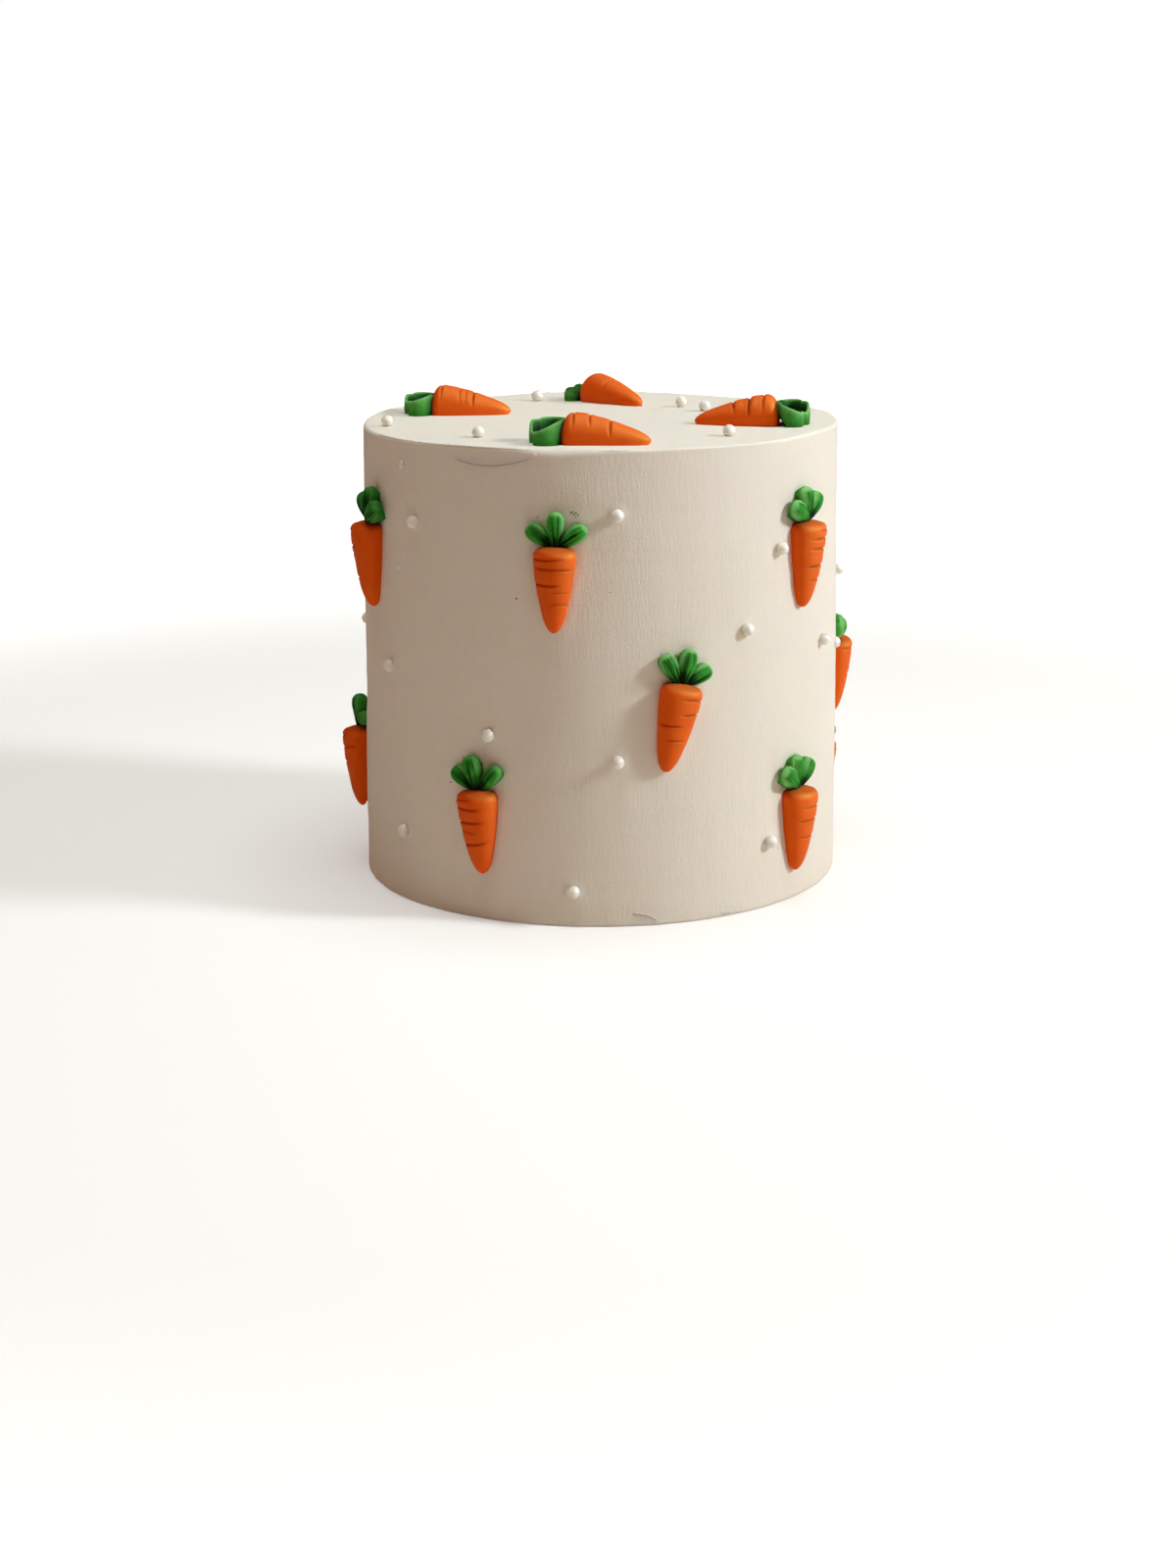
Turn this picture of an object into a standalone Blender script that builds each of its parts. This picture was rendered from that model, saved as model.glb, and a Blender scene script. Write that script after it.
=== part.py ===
# A tall round carrot cake in smooth cream frosting, with sugar-paste carrots and sugar pearls on its
# side and top. Metres, +Z up. The origin is the centre of the cake's foot, and the front faces -Y.
# Azimuths are seen from above: 0 degrees is the front, and positive ones go round to the right (+X).

import math
import random

import bmesh
import bpy
from mathutils import Matrix, Vector

MM = 0.001

# The cake under its frosting is three or four layers of a 15 cm sponge, which can't be seen.
CAKE_RADIUS = 79 * MM
CAKE_HEIGHT = 150 * MM
CAKE_SIDES = 80
RIM_ROUNDING = 1.2 * MM
RIM_STEPS = 2

# A piece that rests on the frosting, or against another piece, keeps this gap to it.
REST_GAP = 0.3 * MM

# The carrots on the side are flatter than those on top. The taper is the power of the root's width
# that its thickness follows from crown to tip.
SIDE_STYLE = {
    "root_thickness": 7.6 * MM,
    "taper": 0.85,
    "crease_depth": 0.45 * MM,
    "leaf_length": 10.1 * MM,
    "leaf_thickness": 4.3 * MM,
}
TOP_STYLE = {
    "root_thickness": 9.9 * MM,
    "taper": 1.25,
    "crease_depth": 0.7 * MM,
    "leaf_length": 9.4 * MM,
    "leaf_thickness": 6 * MM,
}

# A root rounds over at its crown: how flat the crown is left, as a share of the full width and
# thickness, and how far down the rounding runs.
CROWN_WIDTH = (0.76, 2.2 * MM)
CROWN_THICKNESS = (0.64, 3.4 * MM)
CREASE_HALF_WIDTH = 0.6 * MM

LEAF_WIDTH = 6.2 * MM
LEAF_FOOT_SPACING = 1.2 * MM

# The widest stretch of a moulded piece is this share of its thickness above the frosting.
BELLY_SHARE = 0.32
# How far below its widest stretch the outline of a moulded piece tucks in, as an angle.
TUCK = math.radians(25)

PEARL_RADIUS = 2 * MM
PEARL_SIDES = 6
PEARL_RINGS = 4
PEARL_SUNK = 0.6 * MM

# Carrots on the side: azimuth and lean in degrees, the height of the root's crown in mm, the root's
# length and width in mm, and how far its left, middle and right leaf lean over to the right, in
# degrees. A positive lean swings the tip to the right. The first eight show from the front.
SIDE_CARROTS = (
    (-65.4, 121.0, 1.0, 27.3, 13.0, (-36, 15, 57)),
    (-9.3, 120.0, -1.8, 26.5, 13.0, (-54, -1, 52)),
    (54.9, 122.4, -2.8, 27.3, 13.6, (-58, -14, 36)),
    (97.4, 73.6, 3.0, 26.5, 13.0, (-50, 0, 50)),
    (18.4, 76.4, -10.5, 27.7, 13.3, (-38, 4, 52)),
    (-90.3, 45.4, 6.0, 26.5, 13.2, (-50, 0, 45)),
    (-28.1, 41.8, 2.3, 26.6, 13.1, (-50, -11, 42)),
    (51.8, 36.6, -1.0, 27.0, 13.4, (-50, -11, 38)),
    (124.0, 123.0, 3.0, 26.5, 13.0, (-45, 4, 50)),
    (-176.0, 121.0, -4.0, 27.0, 13.0, (-52, -4, 47)),
    (-123.0, 122.0, 5.0, 26.5, 12.8, (-48, 8, 58)),
    (152.0, 77.5, 7.0, 27.2, 13.0, (-50, 5, 52)),
    (-142.0, 79.0, -6.0, 26.5, 13.2, (-56, -12, 36)),
    (109.0, 34.0, 2.0, 26.5, 12.8, (-50, 0, 46)),
    (-173.0, 39.0, -3.0, 26.8, 13.0, (-46, 2, 54)),
)

# Carrots lying on top: where the middle of the crown is, in mm, which way the tip points, in degrees
# from +X towards +Y, and the same lengths and leaves as above.
TOP_CARROTS = (
    (-55.2, 17.2, -6.0, 26.2, 13.2, (-48, 0, 46)),
    (-10.3, -62.4, -9.0, 27.2, 13.4, (-46, 2, 50)),
    (-2.0, 54.5, -50.0, 26.5, 13.0, (-48, 0, 46)),
    (59.6, -18.0, 176.0, 27.8, 13.4, (-50, -2, 46)),
)

# Knife marks across a root: how far down it each lies, as a share of its length, and where it starts
# and ends, from -1 at the left edge to 1 at the right. The side carrots take these sets in turn.
SIDE_CREASES = (
    ((0.15, -1.3, 0.0), (0.3, -1.3, 0.2), (0.4, -1.3, -0.2), (0.68, -1.3, 0.1)),
    ((0.15, -1.3, 0.4), (0.26, -0.7, 0.8), (0.45, -1.3, 0.4), (0.66, 0.0, 1.3)),
    ((0.17, 0.3, 1.3), (0.32, 0.1, 1.3), (0.5, -0.2, 1.3)),
    ((0.15, -1.3, 1.3), (0.32, 0.0, 1.3), (0.5, -0.4, 1.3)),
    ((0.19, 0.0, 1.3), (0.37, 0.1, 1.3), (0.5, -1.3, 0.1), (0.66, -0.3, 0.6)),
    ((0.15, -1.3, 0.6), (0.3, -1.3, 1.3), (0.48, -1.3, 0.4)),
    ((0.13, -1.3, 0.1), (0.24, -1.3, 0.4), (0.4, -1.3, 0.5), (0.66, -1.3, 0.8)),
    ((0.27, 0.0, 1.3), (0.5, -0.1, 1.3), (0.62, -1.3, -0.2)),
)

# The same for each carrot on top.
TOP_CREASES = (
    ((0.13, -0.5, 0.6), (0.34, -0.8, 0.5), (0.52, -0.9, 0.4)),
    ((0.13, -0.5, 0.7), (0.31, -0.6, 0.6), (0.54, -0.9, 0.5)),
    ((0.22, -0.3, 0.5), (0.43, -0.7, 0.4)),
    ((0.17, -0.6, 0.6), (0.35, -0.5, 0.9), (0.55, -0.6, 0.6)),
)

# Pearls on the part of the side that shows from the front: azimuth in degrees and height in mm.
SIDE_PEARLS = (
    (-51.0, 142.0),
    (-46.5, 124.5),
    (-53.5, 109.0),
    (-98.0, 81.0),
    (-57.5, 76.0),
    (-52.5, 23.0),
    (-25.5, 60.0),
    (4.2, 130.0),
    (4.0, 53.0),
    (-6.0, 11.5),
    (46.0, 115.5),
    (92.0, 98.5),
    (35.4, 91.5),
    (64.8, 82.0),
    (79.0, 77.0),
    (42.5, 21.5),
)

# Pearls on top, in mm from the cake's axis.
TOP_PEARLS = (
    (-68.5, -16.0),
    (-37.5, -46.5),
    (-21.0, 54.0),
    (29.0, 32.0),
    (36.5, 19.5),
    (41.5, -47.0),
)

# The back gets pearls about as widely spaced as the front's, by a rule: steps of the golden turn.
BACK_PEARL_TRIES = 60
BACK_FROM = math.radians(100)
BACK_TO = math.radians(265)
BACK_HEIGHTS = (12 * MM, 140 * MM)
PEARL_TO_CARROT = 12 * MM
PEARL_SPACING = 27 * MM
GOLDEN_TURN = 0.618034

SEED = 20


def material(name, colour, roughness):
    made = bpy.data.materials.new(name)
    made.use_nodes = True
    made.diffuse_color = (*colour, 1)
    shader = made.node_tree.nodes["Principled BSDF"]
    shader.inputs["Base Color"].default_value = (*colour, 1)
    shader.inputs["Roughness"].default_value = roughness
    shader.inputs["Metallic"].default_value = 0
    return made


def link(name, mesh, *finishes):
    made = bpy.data.objects.new(name, mesh)
    bpy.context.scene.collection.objects.link(made)
    for finish in finishes:
        mesh.materials.append(finish)
    return made


def smooth(mesh, crease_angle=math.radians(60)):
    mesh.shade_smooth()
    mesh.set_sharp_from_angle(angle=crease_angle)


def smoothstep(x):
    x = min(1, max(0, x))
    return x * x * (3 - 2 * x)


def loft(shape, rings):
    """Closes a row of rings, each a list of points, into one body in the bmesh."""
    loops = [[shape.verts.new(point) for point in ring] for ring in rings]
    count = len(loops[0])
    for low, high in zip(loops, loops[1:]):
        for i in range(count):
            j = (i + 1) % count
            shape.faces.new((low[i], low[j], high[j], high[i]))
    shape.faces.new(loops[0][::-1])
    shape.faces.new(loops[-1])
    bmesh.ops.recalc_face_normals(shape, faces=shape.faces)


def moulded_section(half_width, thickness, angles):
    """A flat-backed round outline, as (across, above) pairs, from the right foot over to the left."""
    belly = thickness * BELLY_SHARE
    section = []
    for angle in angles:
        rise = math.sin(angle)
        above = belly + (thickness - belly) * rise if rise >= 0 else belly * (1 + rise / math.sin(TUCK))
        section.append((half_width * math.cos(angle), max(0.0, above)))
    return section


def section_angles(count):
    return [-TUCK + (math.pi + 2 * TUCK) * i / (count - 1) for i in range(count)]


def taper_share(t):
    """The root's width at t of the way from crown to tip, before its ends are rounded."""
    return 1 - 0.66 * t**1.6


def tip_share(t):
    return math.sqrt(1 - t**14)


def crown_share(along, flat, rounding):
    """How far the crown's rounding has filled out at this distance down the root."""
    corner = max(0.0, 1 - along / rounding)
    return flat + (1 - flat) * math.sqrt(1 - corner * corner)


def crease_share(angle, start, end):
    """How deep a knife mark is at this angle of the section, as a share of its full depth."""
    place = math.cos(angle)
    within = smoothstep((place - start) / 0.3 + 0.5) * smoothstep((end - place) / 0.3 + 0.5)
    return within * smoothstep(math.sin(angle) * 3)


def root_rings(length, width, style, creases):
    """Rings of (across, along, above) points, from the crown at 0 down to the tip."""
    stations = [(0, None), (0.35 * MM, None), (1.5 * MM, None)]
    for crease in creases:
        for step in (-1, 0, 1):
            along = crease[0] * length + step * CREASE_HALF_WIDTH
            stations.append((along, crease if step == 0 else None))
    stations += [(share * length, None) for share in (0.8, 0.9, 0.965, 0.993)]
    angles = section_angles(8)
    rings = []
    for along, crease in stations:
        taper = taper_share(along / length)
        tip = tip_share(along / length)
        half_width = taper * tip * crown_share(along, *CROWN_WIDTH) * width / 2
        rise = taper ** style["taper"] * tip * crown_share(along, *CROWN_THICKNESS)
        section = moulded_section(half_width, rise * style["root_thickness"], angles)
        ring = []
        for angle, (across, above) in zip(angles, section):
            depth = 0
            if crease:
                depth = style["crease_depth"] * crease_share(angle, crease[1], crease[2])
            across -= depth * math.cos(angle)
            above -= depth * math.sin(angle)
            ring.append((across, -along, above))
        rings.append(ring)
    return rings


def leaf_rings(length, width, thickness):
    """A teardrop leaf from its narrow foot at 0 to its round end, as (across, along, above) points."""
    widest = 0.68
    foot = 0.38
    angles = section_angles(7)
    rings = []
    for s in (0, 0.25, 0.5, 0.72, 0.89, 0.975):
        if s < widest:
            swell = math.sin(math.pi / 2 * s / widest)
            share, height = foot + (1 - foot) * swell, 0.62 + 0.38 * swell
        else:
            share = math.sqrt(1 - ((s - widest) / (1 - widest)) ** 2)
            height = share**0.5
        rings.append(
            [
                (across, s * length, above)
                for across, above in moulded_section(share * width / 2, height * thickness, angles)
            ]
        )
    return rings


def united(target, parts):
    """Joins the parts, and the target with them, into one body, which stays in the target."""
    helpers = bpy.data.collections.new("joined")
    for part in parts:
        bpy.context.scene.collection.objects.unlink(part)
        helpers.objects.link(part)
    bpy.context.scene.collection.children.link(helpers)
    join = target.modifiers.new("join", "BOOLEAN")
    join.operation = "UNION"
    join.operand_type = "COLLECTION"
    join.collection = helpers
    join.solver = "EXACT"
    join.material_mode = "TRANSFER"
    graph = bpy.context.evaluated_depsgraph_get()
    joined = bpy.data.meshes.new_from_object(target.evaluated_get(graph))
    target.modifiers.remove(join)
    target.data = joined
    for part in parts:
        bpy.data.objects.remove(part)
    bpy.data.collections.remove(helpers)


def root_mesh(name, length, width, style, creases):
    shape = bmesh.new()
    loft(shape, root_rings(length, width, style, creases))
    mesh = bpy.data.meshes.new(name)
    shape.to_mesh(mesh)
    shape.free()
    return mesh


def leaves_object(name, style, leans, draw, finish):
    """Three leaves pressed together at their feet, fanned above the crown at 0."""
    leaves = []
    for side, lean in zip((-1, 0, 1), leans):
        # The middle leaf stands a little proud of the other two, so that no faces coincide.
        size = 1 if side == 0 else 0.97
        rings = leaf_rings(
            style["leaf_length"] * size * draw.uniform(0.97, 1.03),
            LEAF_WIDTH * draw.uniform(0.95, 1.03),
            style["leaf_thickness"] * size,
        )
        lift = 0.12 * MM if side == 0 else 0
        place = Matrix.Translation((side * LEAF_FOOT_SPACING, 0, lift))
        shape = bmesh.new()
        loft(shape, rings)
        shape.transform(place @ Matrix.Rotation(-math.radians(lean), 4, "Z"))
        mesh = bpy.data.meshes.new(name)
        shape.to_mesh(mesh)
        shape.free()
        leaves.append(link(f"{name}_{len(leaves)}", mesh, finish))
    cluster = leaves.pop(1)
    united(cluster, leaves)
    lowest = min(v.co.y for v in cluster.data.vertices)
    cluster.data.transform(Matrix.Translation((0, REST_GAP - lowest, 0)))
    cluster.name = name
    return cluster


def wrap(mesh, lean):
    """Lays a flat piece, turned by its lean, on the round side of the cake at azimuth 0. The piece's
    origin stays where its crown touches the frosting."""
    mesh.transform(Matrix.Rotation(lean, 4, "Z"))
    for vertex in mesh.vertices:
        across, along, above = vertex.co
        turn = across / CAKE_RADIUS
        reach = CAKE_RADIUS + REST_GAP + above
        vertex.co = (reach * math.sin(turn), CAKE_RADIUS - reach * math.cos(turn), along)


def around(azimuth, height, reach=CAKE_RADIUS):
    return Vector((reach * math.sin(azimuth), -reach * math.cos(azimuth), height))


def add_carrot(name, seed, shape, style, creases, finishes, settle):
    """One carrot: a root and its leaves, two nodes that settle() lays on the cake."""
    length, width, leans = shape
    mesh = root_mesh(name, length * MM, width * MM, style, creases)
    root = link(f"{name}_root", mesh, finishes[0])
    leaves = leaves_object(f"{name}_leaves", style, leans, random.Random(seed), finishes[1])
    for piece in (root, leaves):
        settle(piece)
        smooth(piece.data)


def add_side_carrots(finishes, centre):
    for i, (azimuth, height, lean, *shape) in enumerate(SIDE_CARROTS):

        def settle(piece):
            wrap(piece.data, math.radians(lean))
            piece.location = around(math.radians(azimuth), height * MM)
            piece.rotation_euler.z = math.radians(azimuth)
            piece.parent = centre

        name = f"side_carrot_{i + 1:02d}"
        creases = SIDE_CREASES[i % len(SIDE_CREASES)]
        add_carrot(name, SEED + i, shape, SIDE_STYLE, creases, finishes, settle)


def add_top_carrots(finishes, centre):
    for i, (x, y, heading, *shape) in enumerate(TOP_CARROTS):

        def settle(piece):
            piece.data.transform(Matrix.Rotation(math.pi / 2, 4, "Z"))
            piece.location = (x * MM, y * MM, CAKE_HEIGHT + REST_GAP)
            piece.rotation_euler.z = math.radians(heading)
            piece.parent = centre

        name = f"top_carrot_{i + 1:02d}"
        add_carrot(name, SEED - 1 - i, shape, TOP_STYLE, TOP_CREASES[i], finishes, settle)


def carrot_middles():
    """Points down the middle of each side carrot, which the back's pearls keep away from."""
    points = []
    for azimuth, height, lean, *_ in SIDE_CARROTS:
        for along in (9 * MM, 0, -9 * MM, -18 * MM, -25 * MM):
            turn = math.radians(azimuth) - along * math.tan(math.radians(lean)) / CAKE_RADIUS
            points.append(around(turn, height * MM + along))
    return points


def pearl_places():
    """The centre of each pearl, with its azimuth where it is on the side."""
    on_side = CAKE_RADIUS + PEARL_RADIUS - PEARL_SUNK
    places = [(around(math.radians(a), z * MM, on_side), math.radians(a)) for a, z in SIDE_PEARLS]
    keep_off = carrot_middles()
    low, high = BACK_HEIGHTS
    for i in range(BACK_PEARL_TRIES):
        azimuth = BACK_FROM + (BACK_TO - BACK_FROM) * (i + 0.5) / BACK_PEARL_TRIES
        centre = around(azimuth, low + (high - low) * (i * GOLDEN_TURN % 1), on_side)
        near_carrot = min((centre - point).length for point in keep_off)
        near_pearl = min((centre - place[0]).length for place in places)
        if near_carrot > PEARL_TO_CARROT and near_pearl > PEARL_SPACING:
            places.append((centre, azimuth))
    on_top = CAKE_HEIGHT + PEARL_RADIUS - PEARL_SUNK
    places += [(Vector((x * MM, y * MM, on_top)), 0) for x, y in TOP_PEARLS]
    return places


def add_pearls(finish):
    pearls = []
    for centre, azimuth in pearl_places():
        shape = bmesh.new()
        bmesh.ops.create_uvsphere(
            shape, u_segments=PEARL_SIDES, v_segments=PEARL_RINGS, radius=PEARL_RADIUS
        )
        mesh = bpy.data.meshes.new("pearl")
        shape.to_mesh(mesh)
        shape.free()
        pearl = link("pearl", mesh, finish)
        pearl.location = centre
        pearl.rotation_euler.z = azimuth
        pearls.append(pearl)
    bpy.context.view_layer.update()
    return pearls


def add_cake(frosting, sugar):
    """The frosted cake, rounded at its rim, with the pearls fused to it."""
    shape = bmesh.new()
    bmesh.ops.create_cone(
        shape,
        segments=CAKE_SIDES,
        radius1=CAKE_RADIUS,
        radius2=CAKE_RADIUS,
        depth=CAKE_HEIGHT,
        cap_ends=True,
        matrix=Matrix.Translation((0, 0, CAKE_HEIGHT / 2)),
    )
    rim = [e for e in shape.edges if all(v.co.z > CAKE_HEIGHT - RIM_ROUNDING for v in e.verts)]
    bmesh.ops.bevel(
        shape, geom=rim, offset=RIM_ROUNDING, segments=RIM_STEPS, profile=0.5, affect="EDGES"
    )
    mesh = bpy.data.meshes.new("cake")
    shape.to_mesh(mesh)
    shape.free()
    cake = link("cake", mesh, frosting)
    united(cake, add_pearls(sugar))
    smooth(cake.data)
    return cake


def main():
    for old in list(bpy.data.objects):
        bpy.data.objects.remove(old)
    centre = bpy.data.objects.new("cake_centre", None)
    bpy.context.scene.collection.objects.link(centre)
    frosting = material("cream_frosting", (0.83, 0.76, 0.64), 0.55)
    sugar = material("sugar_pearl", (0.90, 0.88, 0.83), 0.25)
    orange = material("orange_sugar_paste", (0.80, 0.17, 0.02), 0.55)
    green = material("green_sugar_paste", (0.06, 0.30, 0.05), 0.6)
    cake = add_cake(frosting, sugar)
    cake.parent = centre
    add_side_carrots((orange, green), centre)
    add_top_carrots((orange, green), centre)


main()
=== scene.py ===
import math
import random

import bmesh
import bpy
from mathutils import Matrix, Vector, noise


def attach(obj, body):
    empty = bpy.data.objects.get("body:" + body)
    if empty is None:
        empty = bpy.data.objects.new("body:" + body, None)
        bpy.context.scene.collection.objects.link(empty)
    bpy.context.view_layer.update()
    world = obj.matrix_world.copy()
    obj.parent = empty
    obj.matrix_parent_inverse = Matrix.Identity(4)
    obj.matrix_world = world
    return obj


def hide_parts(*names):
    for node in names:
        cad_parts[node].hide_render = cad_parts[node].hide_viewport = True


# A tall round carrot cake in cream buttercream, with hand-moulded sugar paste carrots and sugar
# pearls on its side and top. Metres, +Z up; sizes in the dictionaries are in millimetres. Azimuths
# are degrees from the front (-Y), positive ones round to the right (+X).

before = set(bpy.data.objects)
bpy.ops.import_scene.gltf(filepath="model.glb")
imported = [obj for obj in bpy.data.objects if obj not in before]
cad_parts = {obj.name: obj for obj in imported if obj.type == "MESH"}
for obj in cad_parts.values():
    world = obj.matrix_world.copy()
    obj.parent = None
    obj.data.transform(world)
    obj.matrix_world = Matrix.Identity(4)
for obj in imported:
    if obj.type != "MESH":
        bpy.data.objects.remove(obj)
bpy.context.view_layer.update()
mm = 0.001
perMm = 1 / mm
cake = {"radius": 79.0, "height": 150.0}
print("frame loaded")


# Small helpers

def linear(hexColour):
    # sRGB hex, as a colour picker gives it, to the linear colour that a shader takes
    channels = [int(hexColour[i:i + 2], 16) / 255 for i in (1, 3, 5)]
    return [c / 12.92 if c <= 0.04045 else ((c + 0.055) / 1.055) ** 2.4 for c in channels] + [1.0]


def addNode(tree, kind, inputs=None, **settings):
    # one node with its settings; an input given as a socket is linked, anything else is its value
    added = tree.nodes.new("ShaderNode" + kind)
    for name, value in settings.items():
        setattr(added, name, value)
    for name, value in (inputs or {}).items():
        if isinstance(value, bpy.types.NodeSocket):
            tree.links.new(value, added.inputs[name])
        else:
            added.inputs[name].default_value = value
    return added


def blankMaterial(name):
    # an empty material, its tree, and the place on the object for its patterns, in metres
    made = bpy.data.materials.new(name)
    made.use_nodes = True
    tree = made.node_tree
    tree.nodes.clear()
    return made, tree, addNode(tree, "TexCoord").outputs["Object"]


def smoothstep(x):
    x = min(1.0, max(0.0, x))
    return x * x * (3 - 2 * x)


def bell(x, width):
    return math.exp(-(x / width) ** 2)


def ripple(x, y, z, around, upright, seed):
    # smooth noise, about -0.7 to 0.7, with features this many mm wide and this many mm tall
    return noise.noise(Vector((x / around + seed, y / around - seed, z / upright + seed)))


def onSide(azimuth, height, reach=cake["radius"]):
    turn = math.radians(azimuth)
    return Vector((reach * math.sin(turn), -reach * math.cos(turn), height))


def finishPiece(name, mesh, material, slotName, *nodes):
    piece = bpy.data.objects.new(name, mesh)
    bpy.context.scene.collection.objects.link(piece)
    mesh.materials.append(material)
    mesh.shade_smooth()
    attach(piece, "root")
    if nodes:
        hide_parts(*nodes)
    return piece


def meshFrom(shape, name, **attributes):
    # the finished mesh; each attribute is a list with a value for every point
    mesh = bpy.data.meshes.new(name)
    shape.to_mesh(mesh)
    shape.free()
    for attribute, values in attributes.items():
        mesh.attributes.new(attribute, "FLOAT", "POINT").data.foreach_set("value", values)
    return mesh


def ringMiddles(rings):
    # the middles of the first and last ring
    return [sum(ring, Vector()) / len(ring) for ring in (rings[0], rings[-1])]


def addSkin(shape, rings, caps):
    # joins a row of rings of points into one skin, and closes each end to the point in caps
    loops = [[shape.verts.new(point) for point in ring] for ring in rings]
    count = len(loops[0])
    for low, high in zip(loops, loops[1:]):
        for i in range(count):
            j = (i + 1) % count
            shape.faces.new((low[i], low[j], high[j], high[i]))
    for loop, centre, order in ((loops[0], caps[0], 1), (loops[-1], caps[1], -1)):
        middle = shape.verts.new(centre)
        for i in range(count):
            j = (i + 1) % count
            shape.faces.new((loop[j], loop[i], middle)[::order])


# Materials

def mottled(tree, place, size, detail, roughness, colours):
    # two colours in clouds of this size in mm, and the clouds' own strength
    clouds = addNode(tree, "TexNoise", {
        "Vector": place, "Scale": perMm / size, "Detail": detail, "Roughness": roughness,
    }).outputs["Fac"]
    first, second = map(linear, colours)
    colour = addNode(tree, "Mix", {0: clouds, 6: first, 7: second}, data_type="RGBA")
    return colour.outputs[2], clouds


def turned(tree, colour, attribute, other):
    # the colour goes over to another where the mesh's attribute says so, from 0 to 1
    share = addNode(tree, "Attribute", attribute_name=attribute)
    inputs = {0: share.outputs["Fac"], 6: colour, 7: linear(other)}
    return addNode(tree, "Mix", inputs, data_type="RGBA").outputs[2]


def buttercreamMaterial():
    # Buttercream: butter beaten with icing sugar, spread and drawn smooth with a warm scraper.
    # Butterfat under a fine sugar grain: a warm off-white that light sinks into, a soft low sheen,
    # and the faint drag lines and pinholes that the scraper leaves.
    look = {
        "colours": ("#EEE7DA", "#EBE2D1"), "crease": "#7C4E2C", "roughness": 0.52, "ior": 1.46,
        # mm; the sugar grain itself is 0.1 mm, drawn coarser so that it shows
        "grain": 0.6, "dragWidth": 0.8, "dragTall": 5.5, "bandWidth": 60, "bandTall": 4.5,
        "pinhole": 0.55, "pinholeEvery": 3.2, "cloud": 38,
        # how deep each is, in mm
        "dragDepth": 0.11, "bandDepth": 0.08, "grainDepth": 0.085, "pinholeDepth": 0.14,
    }
    made, tree, place = blankMaterial("buttercream")
    dragCoords = addNode(tree, "Mapping", {
        "Vector": place,
        "Scale": (perMm / look["dragWidth"], perMm / look["dragWidth"], perMm / look["dragTall"]),
    }, vector_type="POINT")
    drag = addNode(tree, "TexNoise", {
        "Vector": dragCoords.outputs[0], "Scale": 1.0, "Detail": 3.0, "Roughness": 0.6,
        "Distortion": 0.6,
    })
    bandCoords = addNode(tree, "Mapping", {
        "Vector": place,
        "Scale": (perMm / look["bandWidth"], perMm / look["bandWidth"], perMm / look["bandTall"]),
    }, vector_type="POINT")
    bands = addNode(tree, "TexNoise", {
        "Vector": bandCoords.outputs[0], "Scale": 1.0, "Detail": 1.0, "Roughness": 0.5,
    })
    fine = addNode(tree, "TexNoise", {
        "Vector": place, "Scale": perMm / look["grain"], "Detail": 3.0, "Roughness": 0.65,
    })
    holes = addNode(tree, "TexVoronoi", {
        "Vector": place, "Scale": perMm / look["pinholeEvery"], "Randomness": 1.0,
    }, feature="F1")
    # a pinhole sits at the middle of only some cells
    hole = addNode(tree, "MapRange", {
        "Value": holes.outputs["Distance"], "From Min": 0.0,
        "From Max": look["pinhole"] / look["pinholeEvery"], "To Min": -1.0, "To Max": 0.0,
    }, interpolation_type="SMOOTHSTEP")
    some = addNode(tree, "SeparateColor", {"Color": holes.outputs["Color"]})
    chosen = addNode(tree, "Math", {0: some.outputs["Red"], 1: 0.86}, operation="GREATER_THAN")
    holeHeight = addNode(tree, "Math", {
        0: hole.outputs["Result"], 1: chosen.outputs[0],
    }, operation="MULTIPLY")
    height = addNode(tree, "Math", {
        0: drag.outputs["Fac"], 1: look["dragDepth"],
    }, operation="MULTIPLY")
    for source, depth in ((bands.outputs["Fac"], "bandDepth"), (fine.outputs["Fac"], "grainDepth"),
                          (holeHeight.outputs[0], "pinholeDepth")):
        height = addNode(tree, "Math", {
            0: source, 1: look[depth], 2: height.outputs[0],
        }, operation="MULTIPLY_ADD")
    relief = addNode(tree, "Bump", {
        "Strength": 1.0, "Distance": mm, "Height": height.outputs[0],
    })
    tint, _ = mottled(tree, place, look["cloud"], 3.0, 0.5, look["colours"])
    # drag lines hold a touch more butterfat, so they read a little deeper
    streak = addNode(tree, "MapRange", {
        "Value": drag.outputs["Fac"],
        "From Min": 0.3, "From Max": 0.7, "To Min": 0.985, "To Max": 1.01,
    })
    shade = addNode(tree, "HueSaturation", {"Color": tint, "Value": streak.outputs["Result"]})
    gloss = addNode(tree, "MapRange", {
        "Value": fine.outputs["Fac"], "From Min": 0.3, "From Max": 0.7,
        "To Min": look["roughness"] - 0.06, "To Max": look["roughness"] + 0.08,
    })
    # painted shade: down in a parting the colour turns browner, for the shade in its narrow groove
    creased = turned(tree, shade.outputs["Color"], "crease", look["crease"])
    shader = addNode(tree, "BsdfPrincipled", {
        "Base Color": creased,
        "Roughness": gloss.outputs["Result"],
        "IOR": look["ior"],
        "Specular IOR Level": 0.02,
        "Subsurface Weight": 0.22,
        "Subsurface Radius": (1.0, 0.62, 0.36),
        "Subsurface Scale": 2.4 * mm,
        "Normal": relief.outputs["Normal"],
    })
    addNode(tree, "OutputMaterial", {"Surface": shader.outputs[0]})
    return made


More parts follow.
